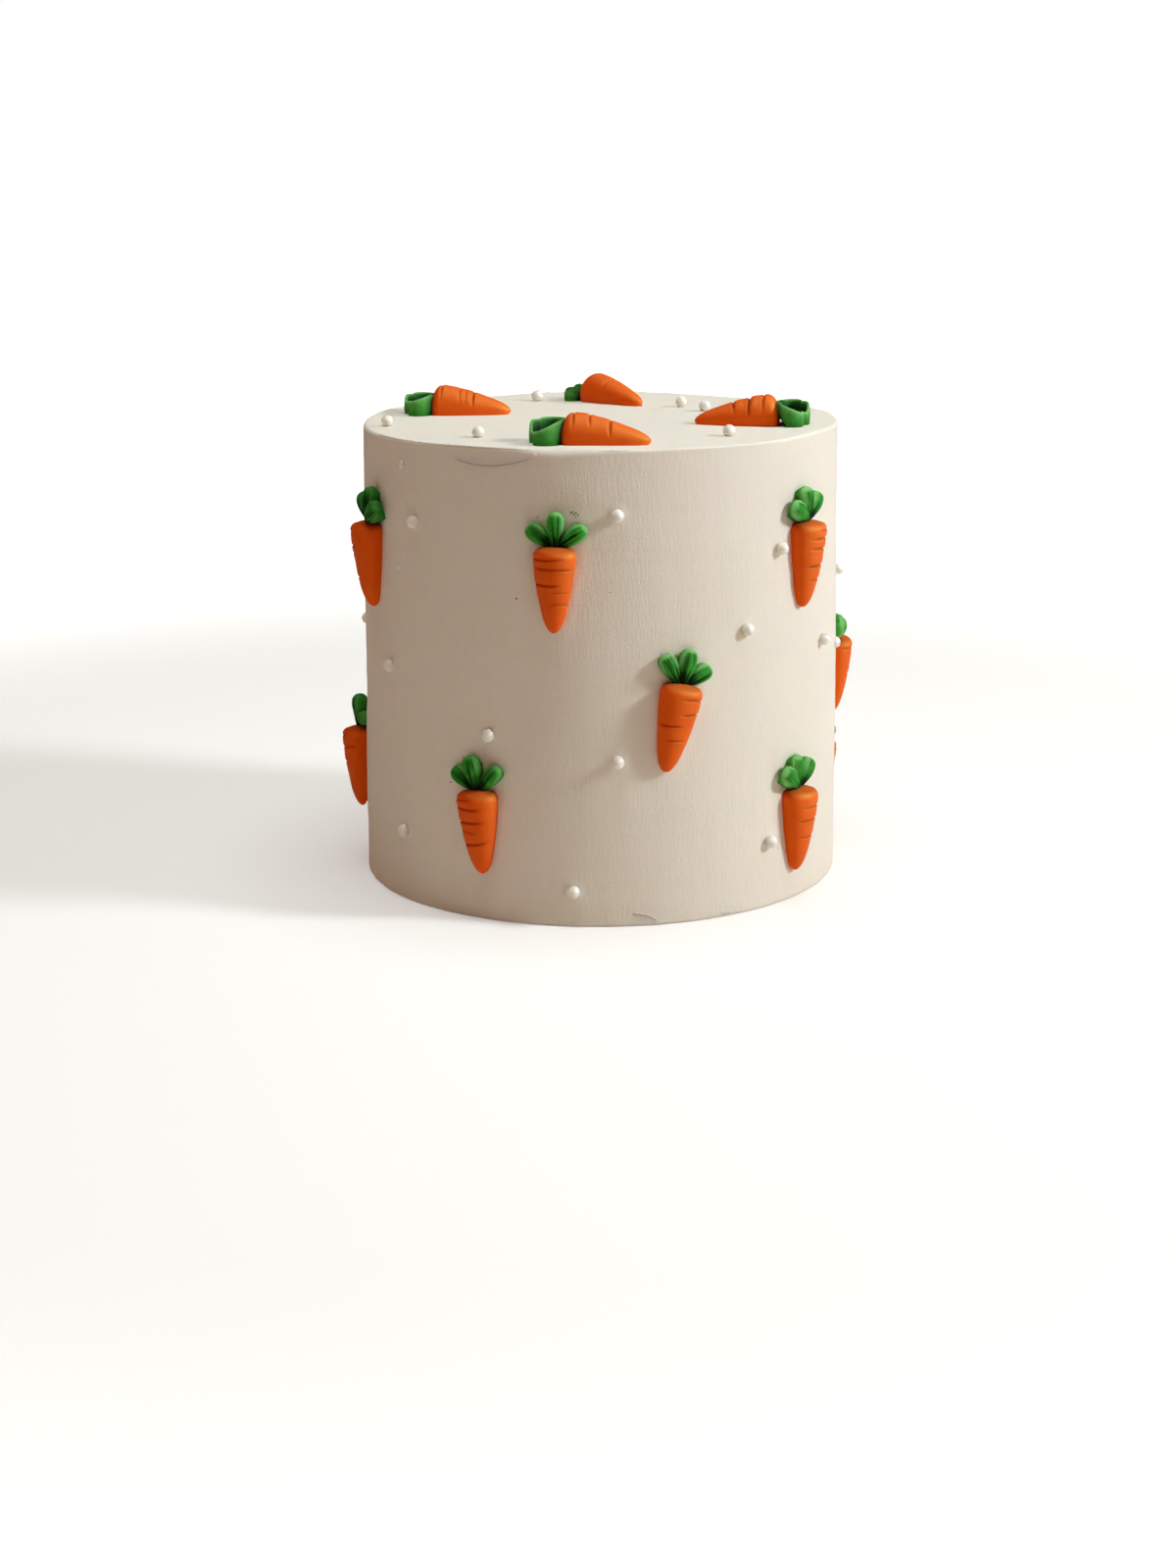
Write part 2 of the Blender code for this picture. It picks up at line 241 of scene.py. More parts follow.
def orangePasteMaterial():
    # Sugar paste: icing sugar kneaded with gelatine and orange gel colour, then rolled between the
    # palms. Coloured right through, with a dry skin that shines softly; painted shade deepens the colour
    # in the knife marks and at the crown under the leaves.
    look = {
        "colours": ("#F25405", "#E74904"), "cutAndCrownShade": "#A21A00", "shadeShare": 0.7, "dullCut": 0.3,
        "glint": (0.34, 1.0, 0.16, 1.0),  # the photo's orange turns yellower where it shines
        "roughness": 0.62, "ior": 1.5,
        # mm: streaks left by kneading, and the sugar's grain with its depth
        "kneading": 6, "grain": 0.6, "grainDepth": 0.09,
    }
    made, tree, place = blankMaterial("orange sugar paste")
    base, kneaded = mottled(tree, place, look["kneading"], 4.0, 0.55, look["colours"])
    # painted shade: darker red in the knife marks and at the crown under the leaves
    cut = addNode(tree, "Attribute", attribute_name="cutAndCrownShade").outputs["Fac"]
    shadeShare = addNode(tree, "Math", {0: cut, 1: look["shadeShare"]}, operation="MULTIPLY")
    colour = addNode(tree, "Mix", {
        0: shadeShare.outputs[0], 6: base, 7: linear(look["cutAndCrownShade"]),
    }, data_type="RGBA")
    skin = addNode(tree, "TexNoise", {
        "Vector": place, "Scale": perMm / look["grain"], "Detail": 4.0, "Roughness": 0.6,
    })
    relief = addNode(tree, "Bump", {
        "Strength": 1.0, "Distance": look["grainDepth"] * mm, "Height": skin.outputs["Fac"],
    })
    gloss = addNode(tree, "MapRange", {
        "Value": kneaded, "From Min": 0.3, "From Max": 0.7,
        "To Min": look["roughness"] - 0.05, "To Max": look["roughness"] + 0.07,
    })
    # a cut is duller than the skin
    dull = addNode(tree, "Math", {
        0: cut, 1: look["dullCut"], 2: gloss.outputs["Result"],
    }, operation="MULTIPLY_ADD")
    shader = addNode(tree, "BsdfPrincipled", {
        "Base Color": colour.outputs[2],
        "Roughness": dull.outputs[0],
        "IOR": look["ior"],
        "Specular IOR Level": 0.44,
        "Specular Tint": look["glint"],
        "Normal": relief.outputs["Normal"],
    })
    addNode(tree, "OutputMaterial", {"Surface": shader.outputs[0]})
    return made


def greenPasteMaterial():
    # The same sugar paste with green gel colour, pressed with a dry fingertip and left to dry, so
    # that its skin is matt and faintly velvety with icing sugar.
    look = {
        "colours": ("#4EBA3C", "#12681A"), "pressed": "#052805", "dryRim": "#8CD47C",
        "bloom": (0.75, 1.0, 0.7, 1.0), "roughness": 0.62, "ior": 1.5,
        # mm: streaks left by kneading, and the dust of icing sugar with its depth
        "kneading": 1.6, "dust": 0.5, "dustDepth": 0.32,
    }
    made, tree, place = blankMaterial("green sugar paste")
    base, _ = mottled(tree, place, look["kneading"], 5.0, 0.7, look["colours"])
    # painted shade: darker green in the grooves, pressed lines, folds and towards the foot
    dark = turned(tree, base, "pressedLine", look["pressed"])
    # painted highlight: the rims are turned paler
    colour = turned(tree, dark, "dryRim", look["dryRim"])
    dust = addNode(tree, "TexNoise", {
        "Vector": place, "Scale": perMm / look["dust"], "Detail": 4.0, "Roughness": 0.7,
    })
    relief = addNode(tree, "Bump", {
        "Strength": 1.0, "Distance": look["dustDepth"] * mm, "Height": dust.outputs["Fac"],
    })
    shader = addNode(tree, "BsdfPrincipled", {
        "Base Color": colour,
        "Roughness": look["roughness"],
        "IOR": look["ior"],
        "Specular IOR Level": 0.04,
        "Sheen Weight": 0.05,
        "Sheen Roughness": 0.4,
        "Sheen Tint": look["bloom"],
        "Normal": relief.outputs["Normal"],
    })
    addNode(tree, "OutputMaterial", {"Surface": shader.outputs[0]})
    return made


def pearlisedSugarMaterial():
    # Pearlised sugar: a pressed ball of sugar tumbled with a pearl dust. Chalky white with a soft
    # sheen on top, never a mirror.
    look = {"colours": ("#F3F0E8", "#E4E0D5"), "roughness": 0.46, "ior": 1.5,
            "chalk": 1.1, "chalkDepth": 0.05}  # the chalk in mm
    made, tree, place = blankMaterial("pearlised sugar")
    colour, chalk = mottled(tree, place, look["chalk"], 4.0, 0.6, look["colours"])
    relief = addNode(tree, "Bump", {
        "Strength": 1.0, "Distance": look["chalkDepth"] * mm, "Height": chalk,
    })
    gloss = addNode(tree, "MapRange", {
        "Value": chalk, "From Min": 0.3, "From Max": 0.7,
        "To Min": look["roughness"] - 0.08, "To Max": look["roughness"] + 0.1,
    })
    shader = addNode(tree, "BsdfPrincipled", {
        "Base Color": colour,
        "Roughness": gloss.outputs["Result"],
        "IOR": look["ior"],
        "Specular IOR Level": 0.3,
        "Coat Weight": 0.02,
        "Coat Roughness": 0.3,
        "Subsurface Weight": 1.0,
        "Subsurface Radius": (1.0, 0.9, 0.8),
        "Subsurface Scale": 1.9 * mm,
        "Normal": relief.outputs["Normal"],
    })
    addNode(tree, "OutputMaterial", {"Surface": shader.outputs[0]})
    return made


buttercream = buttercreamMaterial()
orangePaste = orangePasteMaterial()
greenPaste = greenPasteMaterial()
pearlisedSugar = pearlisedSugarMaterial()
print("materials made")


# Where the carrots and pearls lie

# Each row: azimuth, height of the crown, lean of the root (positive swings the tip right), its
# length and width, and how far the left, middle and right leaf lean over to the right.
sideCarrots = {
    "side_carrot_01": (-65.4, 121.0, 1.0, 27.3, 13.0, (-36, 15, 57)),
    "side_carrot_02": (-9.3, 120.0, -1.8, 26.5, 13.0, (-54, -1, 52)),
    "side_carrot_03": (54.9, 122.4, -2.8, 27.3, 13.6, (-58, -14, 36)),
    "side_carrot_04": (97.4, 73.6, 3.0, 26.5, 13.0, (-50, 0, 50)),
    "side_carrot_05": (18.4, 76.4, -10.5, 27.7, 13.3, (-38, 4, 52)),
    "side_carrot_06": (-90.3, 45.4, 6.0, 26.5, 13.2, (-50, 0, 45)),
    "side_carrot_07": (-28.1, 41.8, 2.3, 26.6, 13.1, (-50, -11, 42)),
    "side_carrot_08": (51.8, 36.6, -1.0, 27.0, 13.4, (-50, -11, 38)),
    "side_carrot_09": (124.0, 123.0, 3.0, 26.5, 13.0, (-45, 4, 50)),
    "side_carrot_10": (-176.0, 121.0, -4.0, 27.0, 13.0, (-52, -4, 47)),
    "side_carrot_11": (-123.0, 122.0, 5.0, 26.5, 12.8, (-48, 8, 58)),
    "side_carrot_12": (152.0, 77.5, 7.0, 27.2, 13.0, (-50, 5, 52)),
    "side_carrot_13": (-142.0, 79.0, -6.0, 26.5, 13.2, (-56, -12, 36)),
    "side_carrot_14": (109.0, 34.0, 2.0, 26.5, 12.8, (-50, 0, 46)),
    "side_carrot_15": (-173.0, 39.0, -3.0, 26.8, 13.0, (-46, 2, 54)),
}
# On top: the crown's middle, the way the tip points (from +X towards +Y), then as above.
topCarrots = {
    "top_carrot_01": (-55.2, 17.2, -6.0, 26.2, 13.2, (-48, 0, 46)),
    "top_carrot_02": (-10.3, -62.4, -9.0, 27.2, 13.4, (-46, 2, 50)),
    "top_carrot_03": (-2.0, 54.5, -50.0, 26.5, 13.0, (-48, 0, 46)),
    "top_carrot_04": (58.9, -18.0, 176.0, 27.2, 13.4, (-50, -2, 46)),
}

# Knife marks: how far down the root, start and end across it (-1 left edge, 1 right edge), and how
# deep against the style's own depth.
sideMarks = (
    ((0.11, -1.3, 0.0, 0.8), (0.26, -1.3, 0.2, 0.9), (0.36, -1.3, -0.2, 0.7), (0.64, -1.3, 0.1, 0.8)),
    ((0.11, -1.2, 0.35, 0.9), (0.22, -0.75, 0.8, 0.9), (0.41, -1.3, 0.3, 1.0), (0.5, 0.1, 0.8, 0.5),
     (0.64, 0.0, 1.1, 0.6)),
    ((0.09, -0.1, 1.3, 0.8), (0.18, -0.45, 1.3, 1.0), (0.3, -0.5, 1.3, 1.1), (0.5, -0.65, 1.3, 1.2),
     (0.67, -0.4, 1.2, 0.8)),
    ((0.12, -1.3, 1.3, 0.8), (0.29, 0.0, 1.3, 0.9), (0.47, -0.4, 1.3, 0.9)),
    ((0.13, 0.0, 1.2, 0.9), (0.31, 0.1, 1.2, 1.1), (0.44, -1.0, 0.05, 0.9), (0.61, -0.5, 0.5, 0.8)),
    ((0.09, -1.3, 0.6, 0.8), (0.24, -1.3, 1.3, 0.8), (0.43, -1.3, 0.4, 0.9)),
    ((0.07, -1.2, 0.0, 0.8), (0.18, -1.2, 0.4, 1.0), (0.34, -1.1, 0.5, 1.0), (0.46, -0.9, 0.2, 0.5),
     (0.61, -0.8, 0.8, 1.0)),
    ((0.2, -0.4, 1.3, 1.0), (0.36, -0.65, 1.3, 1.1), (0.57, -0.6, 1.1, 0.8)),
)
topMarks = (
    ((0.12, -0.8, 0.3, 0.6), (0.35, -0.85, 0.2, 0.6), (0.44, -0.85, 0.0, 0.5),
     (0.53, -0.97, 0.25, 1.0)),
    ((0.12, -0.8, 0.35, 0.8), (0.30, -0.75, 0.35, 0.9), (0.54, -0.97, 0.2, 1.0)),
    ((0.24, -0.4, 0.3, 0.3), (0.43, -0.8, 0.2, 0.6)),
    ((0.17, -0.35, 0.85, 0.75), (0.34, -0.4, 0.97, 1.5), (0.54, -0.4, 0.8, 1.2)),
)

# The pearls that show from the front: azimuth and height on the side, x and y on top. Some were
# pressed deeper than the others.
sidePearls = (
    (-51.0, 142.0), (-46.5, 124.5), (-53.5, 109.0), (-98.0, 81.0), (-57.5, 76.0), (-52.5, 23.0),
    (-25.5, 60.0), (4.2, 130.0), (4.0, 53.0), (-6.0, 11.5), (46.0, 115.5), (92.0, 98.5),
    (35.4, 91.5), (64.8, 82.0), (79.0, 77.0), (42.5, 21.5),
)
pressedDeeper = {(-51.0, 142.0): 2.2, (-53.5, 109.0): 2.6, (-46.5, 124.5): 0.4, (-57.5, 76.0): 0.4,
                 (-52.5, 23.0): 0.8, (79.0, 77.0): 1.3}
topPearls = ((-68.5, -16.0), (-37.5, -46.5), (-21.0, 54.0), (29.0, 32.0), (36.5, 19.5), (41.5, -47.0))
# The back's pearls follow a rule: steps of the golden turn, clear of carrots and of each other.
backPearls = {
    "tries": 60, "azimuths": (100.0, 265.0), "heights": (12.0, 140.0),
    "toCarrot": 12.0, "toPearl": 27.0, "goldenTurn": 0.618034, "alongCarrot": (9, 0, -9, -18, -25),
}
pearl = {
    "radius": 2.0, "sunk": 0.6, "topLift": 0.3, "seed": 7,
    "sizes": (0.97, 1.02), "dents": (3, 5), "dentWidth": (0.16, 0.3), "dentedSide": 0.046,
    "dentedTop": 0.012,
    # the collar of buttercream round one: its rise on the side and on top, where, how wide
    "collarRise": 0.32, "collarRiseOnTop": 0.08, "collarReach": 1.9, "collarWidth": 0.8,
}


def backPearlPlaces():
    carrotMiddles = []
    for azimuth, crownHeight, lean, *_ in sideCarrots.values():
        for along in backPearls["alongCarrot"]:
            turn = math.degrees(along * math.tan(math.radians(lean)) / cake["radius"])
            carrotMiddles.append(onSide(azimuth - turn, crownHeight + along))
    reach = cake["radius"] + pearl["radius"] - pearl["sunk"]
    taken = [onSide(azimuth, height, reach) for azimuth, height in sidePearls]
    (first, last), (low, high) = backPearls["azimuths"], backPearls["heights"]
    kept = []
    for i in range(backPearls["tries"]):
        azimuth = first + (last - first) * (i + 0.5) / backPearls["tries"]
        height = low + (high - low) * (i * backPearls["goldenTurn"] % 1)
        centre = onSide(azimuth, height, reach)
        clearOfCarrots = min((centre - point).length for point in carrotMiddles)
        clearOfPearls = min((centre - point).length for point in taken)
        if clearOfCarrots > backPearls["toCarrot"] and clearOfPearls > backPearls["toPearl"]:
            taken.append(centre)
            kept.append((azimuth, height))
    return kept


allSidePearls = list(sidePearls) + backPearlPlaces()


# The buttercream coat

coat = {
    "columns": 480, "footSteps": 3, "rimSteps": 7,
    "footRounding": 0.7,
    "rimRounding": (0.95, 0.4, 0.6),  # usual, how much it varies, least
    "rimWave": 0.35, "raggedUp": 0.8, "raggedOut": 0.5,
    # unevenness: how high, how wide and how tall its features are, and its seed
    "sideLayers": ((0.3, 62, 55, 3.1), (0.09, 70, 5.5, 11.7), (0.06, 4.5, 40, 23.3),
                   (0.05, 11, 9, 31.9)),
    "topLayers": ((0.3, 34, 30, 51.3), (0.06, 9, 9, 61.1)),
    # where the scraper ruckled the foot: how high it stands, its middle and its width
    "footRuckle": (0.25, 1.0, 1.6),
    # slow leans of the side: azimuth, width in degrees, at the foot, at the rim
    "leans": ((-92.0, 28.0, -0.5, -1.7), (92.0, 26.0, 0.0, 0.6)),
    # where the rim sags: azimuth, width in degrees, extra rounding
    "sags": ((-9.0, 7.5, 1.7), (118.0, 9.0, 1.1), (-150.0, 8.0, 1.3)),
    # ragged bits of the rim: azimuth, width in degrees, depth
    "chips": ((-48.0, 2.4, 0.5), (-36.0, 2.2, 0.55), (2.4, 2.8, 0.6), (95.0, 3.0, 0.5),
              (168.0, 2.6, 0.6), (-112.0, 2.8, 0.5)),
    # arcs that the palette knife left on top: centre, radius, from and to angle, depth; and the
    # width of their ridge, of the step behind it and of the sweep
    "arcs": ((-6.0, 8.0, 27.0, -50.0, 28.0, 0.12), (20.0, -34.0, 46.0, 20.0, 95.0, 0.10),
             (-30.0, -20.0, 40.0, 190.0, 300.0, 0.10), (10.0, 30.0, 36.0, 60.0, 170.0, 0.10)),
    "arcWidths": (0.9, 3, 9),
}
# the soft swell round each carrot: how high, how far out and how wide; the leaves' length, and how
# far above and below the crown and how many degrees round it is worked out
pillow = {"rise": 0.2, "reach": 1.2, "width": 1.6, "leaves": 7, "above": 16, "below": 8, "turn": 14}


def turnBetween(azimuth, other):
    return (azimuth - other + 180) % 360 - 180


def pearlHollow(azimuth, height):
    # the buttercream gives under a pearl and rises in a small collar round it
    lift = 0.0
    for pearlAzimuth, pearlHeight in allSidePearls:
        if abs(height - pearlHeight) > 5 or abs(turnBetween(azimuth, pearlAzimuth)) > 4:
            continue
        across = math.radians(turnBetween(azimuth, pearlAzimuth)) * cake["radius"]
        reach = math.hypot(across, height - pearlHeight)
        lift += pearl["collarRise"] * bell(reach - pearl["collarReach"], pearl["collarWidth"])
    return lift


def taperShare(t):
    # a root's width from its crown, 0, to its tip, 1
    return 1 - 0.66 * t ** 1.6


def carrotPillow(azimuth, height):
    # the buttercream swells round each carrot, where it was pressed on
    lift = 0.0
    for carrotAzimuth, crownHeight, lean, length, width, _ in sideCarrots.values():
        turn = turnBetween(azimuth, carrotAzimuth)
        lowest, highest = crownHeight - length - pillow["below"], crownHeight + pillow["above"]
        if abs(turn) > pillow["turn"] or not lowest < height < highest:
            continue
        across = math.radians(turn) * cake["radius"]
        down = crownHeight - height
        across += down * math.tan(math.radians(-lean))
        t = min(1.0, max(0.0, down / length))
        beyond = max(0.0, down - length, -down - pillow["leaves"])
        reach = math.hypot(max(0.0, abs(across) - width / 2 * taperShare(t)), beyond)
        lift += pillow["rise"] * bell(reach - pillow["reach"], pillow["width"])
    return lift


def sideRelief(azimuth, height):
    # how far the skin stands off the true round, in mm
    point = onSide(azimuth, height)
    x, y = point.x, point.y
    relief = sum(rise * ripple(x, y, height, *layer) for rise, *layer in coat["sideLayers"])
    for centre, width, atFoot, atRim in coat["leans"]:
        lean = atFoot + (atRim - atFoot) * height / cake["height"]
        relief += lean * bell(turnBetween(azimuth, centre), width)
    rise, middle, width = coat["footRuckle"]
    if height < 5 * width:
        relief += rise * bell(height - middle, width) * ripple(x, y, 0, 7, 5, 41.0)
    return relief + pearlHollow(azimuth, height) + carrotPillow(azimuth, height)


def topRelief(x, y):
    relief = sum(rise * ripple(x, y, 0, *layer) for rise, *layer in coat["topLayers"])
    ridge, step, sweep = coat["arcWidths"]
    for cx, cy, radius, start, end, depth in coat["arcs"]:
        angle = math.degrees(math.atan2(y - cy, x - cx))
        share = ((angle - start) % 360) / (end - start)
        if share < 1:
            away = math.hypot(x - cx, y - cy) - radius
            fade = smoothstep(share / 0.25) * smoothstep((1 - share) / 0.25)
            relief += fade * depth * (bell(away, ridge)
                                      - smoothstep(0.5 - away / step) * bell(away, sweep))
    for px, py in topPearls:
        reach = math.hypot(x - px, y - py)
        if reach < 5:
            relief += pearl["collarRiseOnTop"] * bell(reach - pearl["collarReach"],
                                                      pearl["collarWidth"])
    return relief


def rimRounding(azimuth):
    usual, varies, least = coat["rimRounding"]
    rounding = usual + varies * ripple(azimuth * 0.6, 0, 0, 9, 9, 71.7)
    for centre, width, extra in coat["sags"]:
        rounding += extra * bell(turnBetween(azimuth, centre), width)
    return max(least, rounding)


def rimWave(azimuth):
    # the rim's own height: long waves, and ragged bits where the knife dragged the edge inwards
    x, y = onSide(azimuth, 0).xy
    wave = coat["rimWave"] * ripple(x, y, 0, 22, 22, 81.9)
    ragged = 0.0
    for centre, width, depth in coat["chips"]:
        window = bell(turnBetween(azimuth, centre), width)
        ragged += depth * window * ripple(x, y, 0, 1.3, 1.3, 91.3)
    return wave, ragged


def rimPoint(azimuth, angle):
    # a point on the rounded rim, from the side (angle 0) over to the top (a right angle)
    rounding = rimRounding(azimuth)
    wave, ragged = rimWave(azimuth)
    relief = sideRelief(azimuth, cake["height"] - rounding)
    reach = cake["radius"] + relief - rounding * (1 - math.cos(angle))
    z = cake["height"] - rounding * (1 - math.sin(angle)) + wave
    z += ragged * math.sin(angle) ** 2 * coat["raggedUp"]
    reach += ragged * coat["raggedOut"] * math.cos(angle)
    level = onSide(azimuth, 0, reach)
    return onSide(azimuth, z + topRelief(level.x, level.y) * math.sin(angle) ** 2, reach)


def coatRows():
    # shares of the straight side, about 1 mm apart, closer together near the foot and the rim
    last = 142
    foot = (0, 0.5, 1, 1.5, 2, 2.6, 3.2, 3.8, 4.5, 5.3)
    rim = [last - 6 + 0.5 * i for i in range(13)]
    return [row / last for row in (*foot, *range(6, last - 6), *rim)]


def buildCoat():
    columns, height, radius = coat["columns"], cake["height"], cake["radius"]
    azimuths = [i * 360 / columns for i in range(columns)]
    rows = coatRows()
    footRadius = coat["footRounding"]
    footSteps, steps = coat["footSteps"], coat["rimSteps"]
    topReaches = [0.985, 0.97, 0.955, 0.94, 0.92] + [0.9 - 0.0235 * i for i in range(37)]
    rings = [[] for _ in range(footSteps + len(rows) + steps + len(topReaches))]
    for azimuth in azimuths:
        rounding = rimRounding(azimuth)
        wave, ragged = rimWave(azimuth)
        footRelief = sideRelief(azimuth, footRadius)
        column = []
        for k in range(footSteps):
            angle = math.pi / 2 * (1 - k / footSteps)
            inset = footRadius * (1 - math.cos(angle))
            column.append(onSide(azimuth, footRadius * (1 - math.sin(angle)),
                                 radius + footRelief - inset))
        straight = height - rounding - footRadius
        for share in rows:
            z = footRadius + straight * share
            reach = radius + sideRelief(azimuth, z)
            nearRim = smoothstep((z - height + 9) / 8)
            reach += ragged * coat["raggedOut"] * nearRim * smoothstep((z - height + 3) / 3)
            column.append(onSide(azimuth, z + wave * nearRim, reach))
        column += [rimPoint(azimuth, math.pi / 2 * k / steps) for k in range(1, steps + 1)]
        edge = radius - rounding + sideRelief(azimuth, height - rounding)
        for share in topReaches:
            reach = edge * share
            level = onSide(azimuth, 0, reach)
            nearRim = smoothstep((reach - edge + 11) / 11)
            z = height + wave * nearRim + topRelief(level.x, level.y)
            z += ragged * coat["raggedUp"] * smoothstep((reach - edge + 2.4) / 2.4)
            column.append(onSide(azimuth, z, reach))
        for ring, point in zip(rings, column):
            ring.append(point * mm)
    bottom = Vector((0, 0, 0))
    crest = Vector((0, 0, height + topRelief(0, 0))) * mm
    shape = bmesh.new()
    addSkin(shape, rings, (bottom, crest))
    return finishPiece("buttercream_coat", meshFrom(shape, "coat"), buttercream, "buttercream", "cake")


buildCoat()
print("buttercream coat spread")


# Partings, burrs and crumbs on the coat

marks = {
    # where the scraper parted the skin, with a lip on either side: azimuth and height of the left
    # end, middle and right end, and how high the lips stand
    "partings": (((-35.2, 146.6), (-25.2, 144.5), (-13.6, 148.0), 0.36),
                 ((7.0, 3.8), (9.6, 3.4), (13.4, 0.9), 0.5),
                 ((28.4, 1.5), (29.9, 1.0), (31.6, 1.2), 0.4),
                 ((146.0, 146.6), (153.0, 144.8), (161.0, 147.4), 0.34),
                 ((-162.0, 3.0), (-159.5, 2.4), (-157.0, 1.0), 0.45)),
    # burrs that the knife left along the rim: from and to azimuth, height
    "burrs": ((-63.0, -14.0, 0.26), (0.5, 7.0, 0.3), (96.0, 128.0, 0.2), (160.0, 215.0, 0.25)),
    "burrSpacing": 0.3, "burrAround": 8, "burrTilt": 52,
    # loose green crumbs off the leaves and a few odd flecks: azimuth, height, size
    "flecks": ((-5.9, 130.9, 0.34), (-5.5, 131.2, 0.22), (-5.2, 130.4, 0.3), (-4.8, 130.9, 0.2),
               (-4.4, 130.2, 0.26), (-4.9, 129.6, 0.18), (-13.6, 129.2, 0.2), (-13.1, 129.6, 0.16),
               (-18.6, 103.6, 0.3), (-36.4, 42.8, 0.3), (2.6, 106.2, 0.2), (58.2, 131.4, 0.2),
               (14.1, 86.3, 0.2), (-32.6, 51.6, 0.22), (129.0, 131.5, 0.26), (-171.2, 130.2, 0.24),
               (155.8, 87.4, 0.26), (-136.5, 88.6, 0.22)),
    "fleckShade": 0.7,
    "seed": 3,
}
# A parting: points along it, its wobble, the share that fades in at an end, the least distance from
# the rim, how deep its edges are sunk, and its outline, as how far above the line, how high against
# the lips, and how much painted shade it takes in the crease.
partingShape = {"steps": 64, "wobble": 0.12, "fades": 0.16, "belowRim": 1.2, "sunk": 0.02}
partingOutline = ((2.4, -0.12, 0), (1.6, 0.02, 0), (0.9, 0.16, 0), (0.4, 0.3, 0), (0.24, 0.34, 0),
                  (0.16, 0.28, 1), (0.12, -0.3, 1), (-0.12, -0.3, 1), (-0.16, 0.24, 1),
                  (-0.24, 0.3, 0), (-0.4, 0.26, 0), (-0.9, 0.12, 0), (-1.6, 0.0, 0),
                  (-2.2, -0.12, 0), (0.0, -0.6, 0))


def addParting(shape, creases, left, middle, right, proud):
    # one smooth curve through the three points, with the outline carried along it
    rings = []
    bend = (middle[0] - left[0]) / (right[0] - left[0])
    curve = (middle[1] - left[1] - (right[1] - left[1]) * bend) / (bend * (bend - 1))
    count, fades = partingShape["steps"], partingShape["fades"]
    for i in range(count + 1):
        u = i / count
        azimuth = left[0] + (right[0] - left[0]) * u
        line = left[1] + (right[1] - left[1]) * u + curve * u * (u - 1)
        line += partingShape["wobble"] * ripple(azimuth * 1.38, 0, 0, 0.9, 0.9, 17.3)
        rise = proud * smoothstep(u / fades) * smoothstep((1 - u) / fades)
        ring = []
        for above, height, deep in partingOutline:
            z = line + above * (0.35 + 0.65 * rise / proud)
            z = min(max(z, coat["footRounding"]), cake["height"] - partingShape["belowRim"])
            reach = cake["radius"] + sideRelief(azimuth, z) + height * rise - partingShape["sunk"]
            ring.append(onSide(azimuth, z, reach) * mm)
            # painted shade along the parting's crease
            creases.append(deep * min(1.0, 1.5 * rise / proud))
        rings.append(ring)
    creases += [0.0, 0.0]
    addSkin(shape, rings, ringMiddles(rings))


def addBurr(shape, first, last, height):
    perDegree = math.radians(1) * cake["radius"]
    count = int((last - first) * perDegree / marks["burrSpacing"])
    rings = []
    for i in range(count + 1):
        azimuth = first + (last - first) * i / count
        run = azimuth * perDegree
        fade = smoothstep(i / 12) * smoothstep((count - i) / 12)
        rough = 0.45 + 1.1 * max(0.0, ripple(run, 0, 0, 2.6, 2.6, 27.1))
        rough += 0.5 * ripple(run, 0, 0, 0.8, 0.8, 37.7)
        rise = height * fade * max(0.12, rough)
        heart = rimPoint(azimuth, math.radians(marks["burrTilt"]))
        outward = onSide(azimuth, 0, 1)
        ring = []
        for k in range(marks["burrAround"]):
            turn = 2 * math.pi * k / marks["burrAround"]
            side = outward * math.cos(turn) * (0.2 + rise * 0.6)
            side += Vector((0, 0, math.sin(turn) * (0.12 + rise)))
            ring.append((heart + side - outward * 0.12) * mm)
        rings.append(ring)
    addSkin(shape, rings, ringMiddles(rings))


def buildBurrs():
    shape = bmesh.new()
    creases = []
    for parting in marks["partings"]:
        addParting(shape, creases, *parting)
    for burr in marks["burrs"]:
        addBurr(shape, *burr)
    bmesh.ops.recalc_face_normals(shape, faces=shape.faces)
    creases += [0.0] * (len(shape.verts) - len(creases))
    mesh = meshFrom(shape, "burrs", crease=creases)
    return finishPiece("buttercream_burrs", mesh, buttercream, "buttercream")


def buildFlecks():
    shape = bmesh.new()
    draw = random.Random(marks["seed"])
    for azimuth, height, size in marks["flecks"]:
        centre = onSide(azimuth, height, cake["radius"] + sideRelief(azimuth, height) + size * 0.2)
        crumb = bmesh.ops.create_icosphere(shape, subdivisions=2, radius=1.0)["verts"]
        squash = Vector((draw.uniform(0.6, 1.3), draw.uniform(0.6, 1.0), draw.uniform(0.6, 1.2)))
        seed = draw.uniform(0, 50)
        for vertex in crumb:
            way = vertex.co.normalized()
            reach = size * (1 + 0.5 * noise.noise(way * 1.7 + Vector((seed, 0, 0))))
            vertex.co = (centre + way * squash * reach) * mm
    count = len(shape.verts)
    mesh = meshFrom(shape, "flecks", pressedLine=[marks["fleckShade"]] * count, dryRim=[0.0] * count)
    return finishPiece("paste_flecks", mesh, greenPaste, "green_paste")


buildBurrs()
buildFlecks()
print("burrs and flecks left")


# Sugar pearls

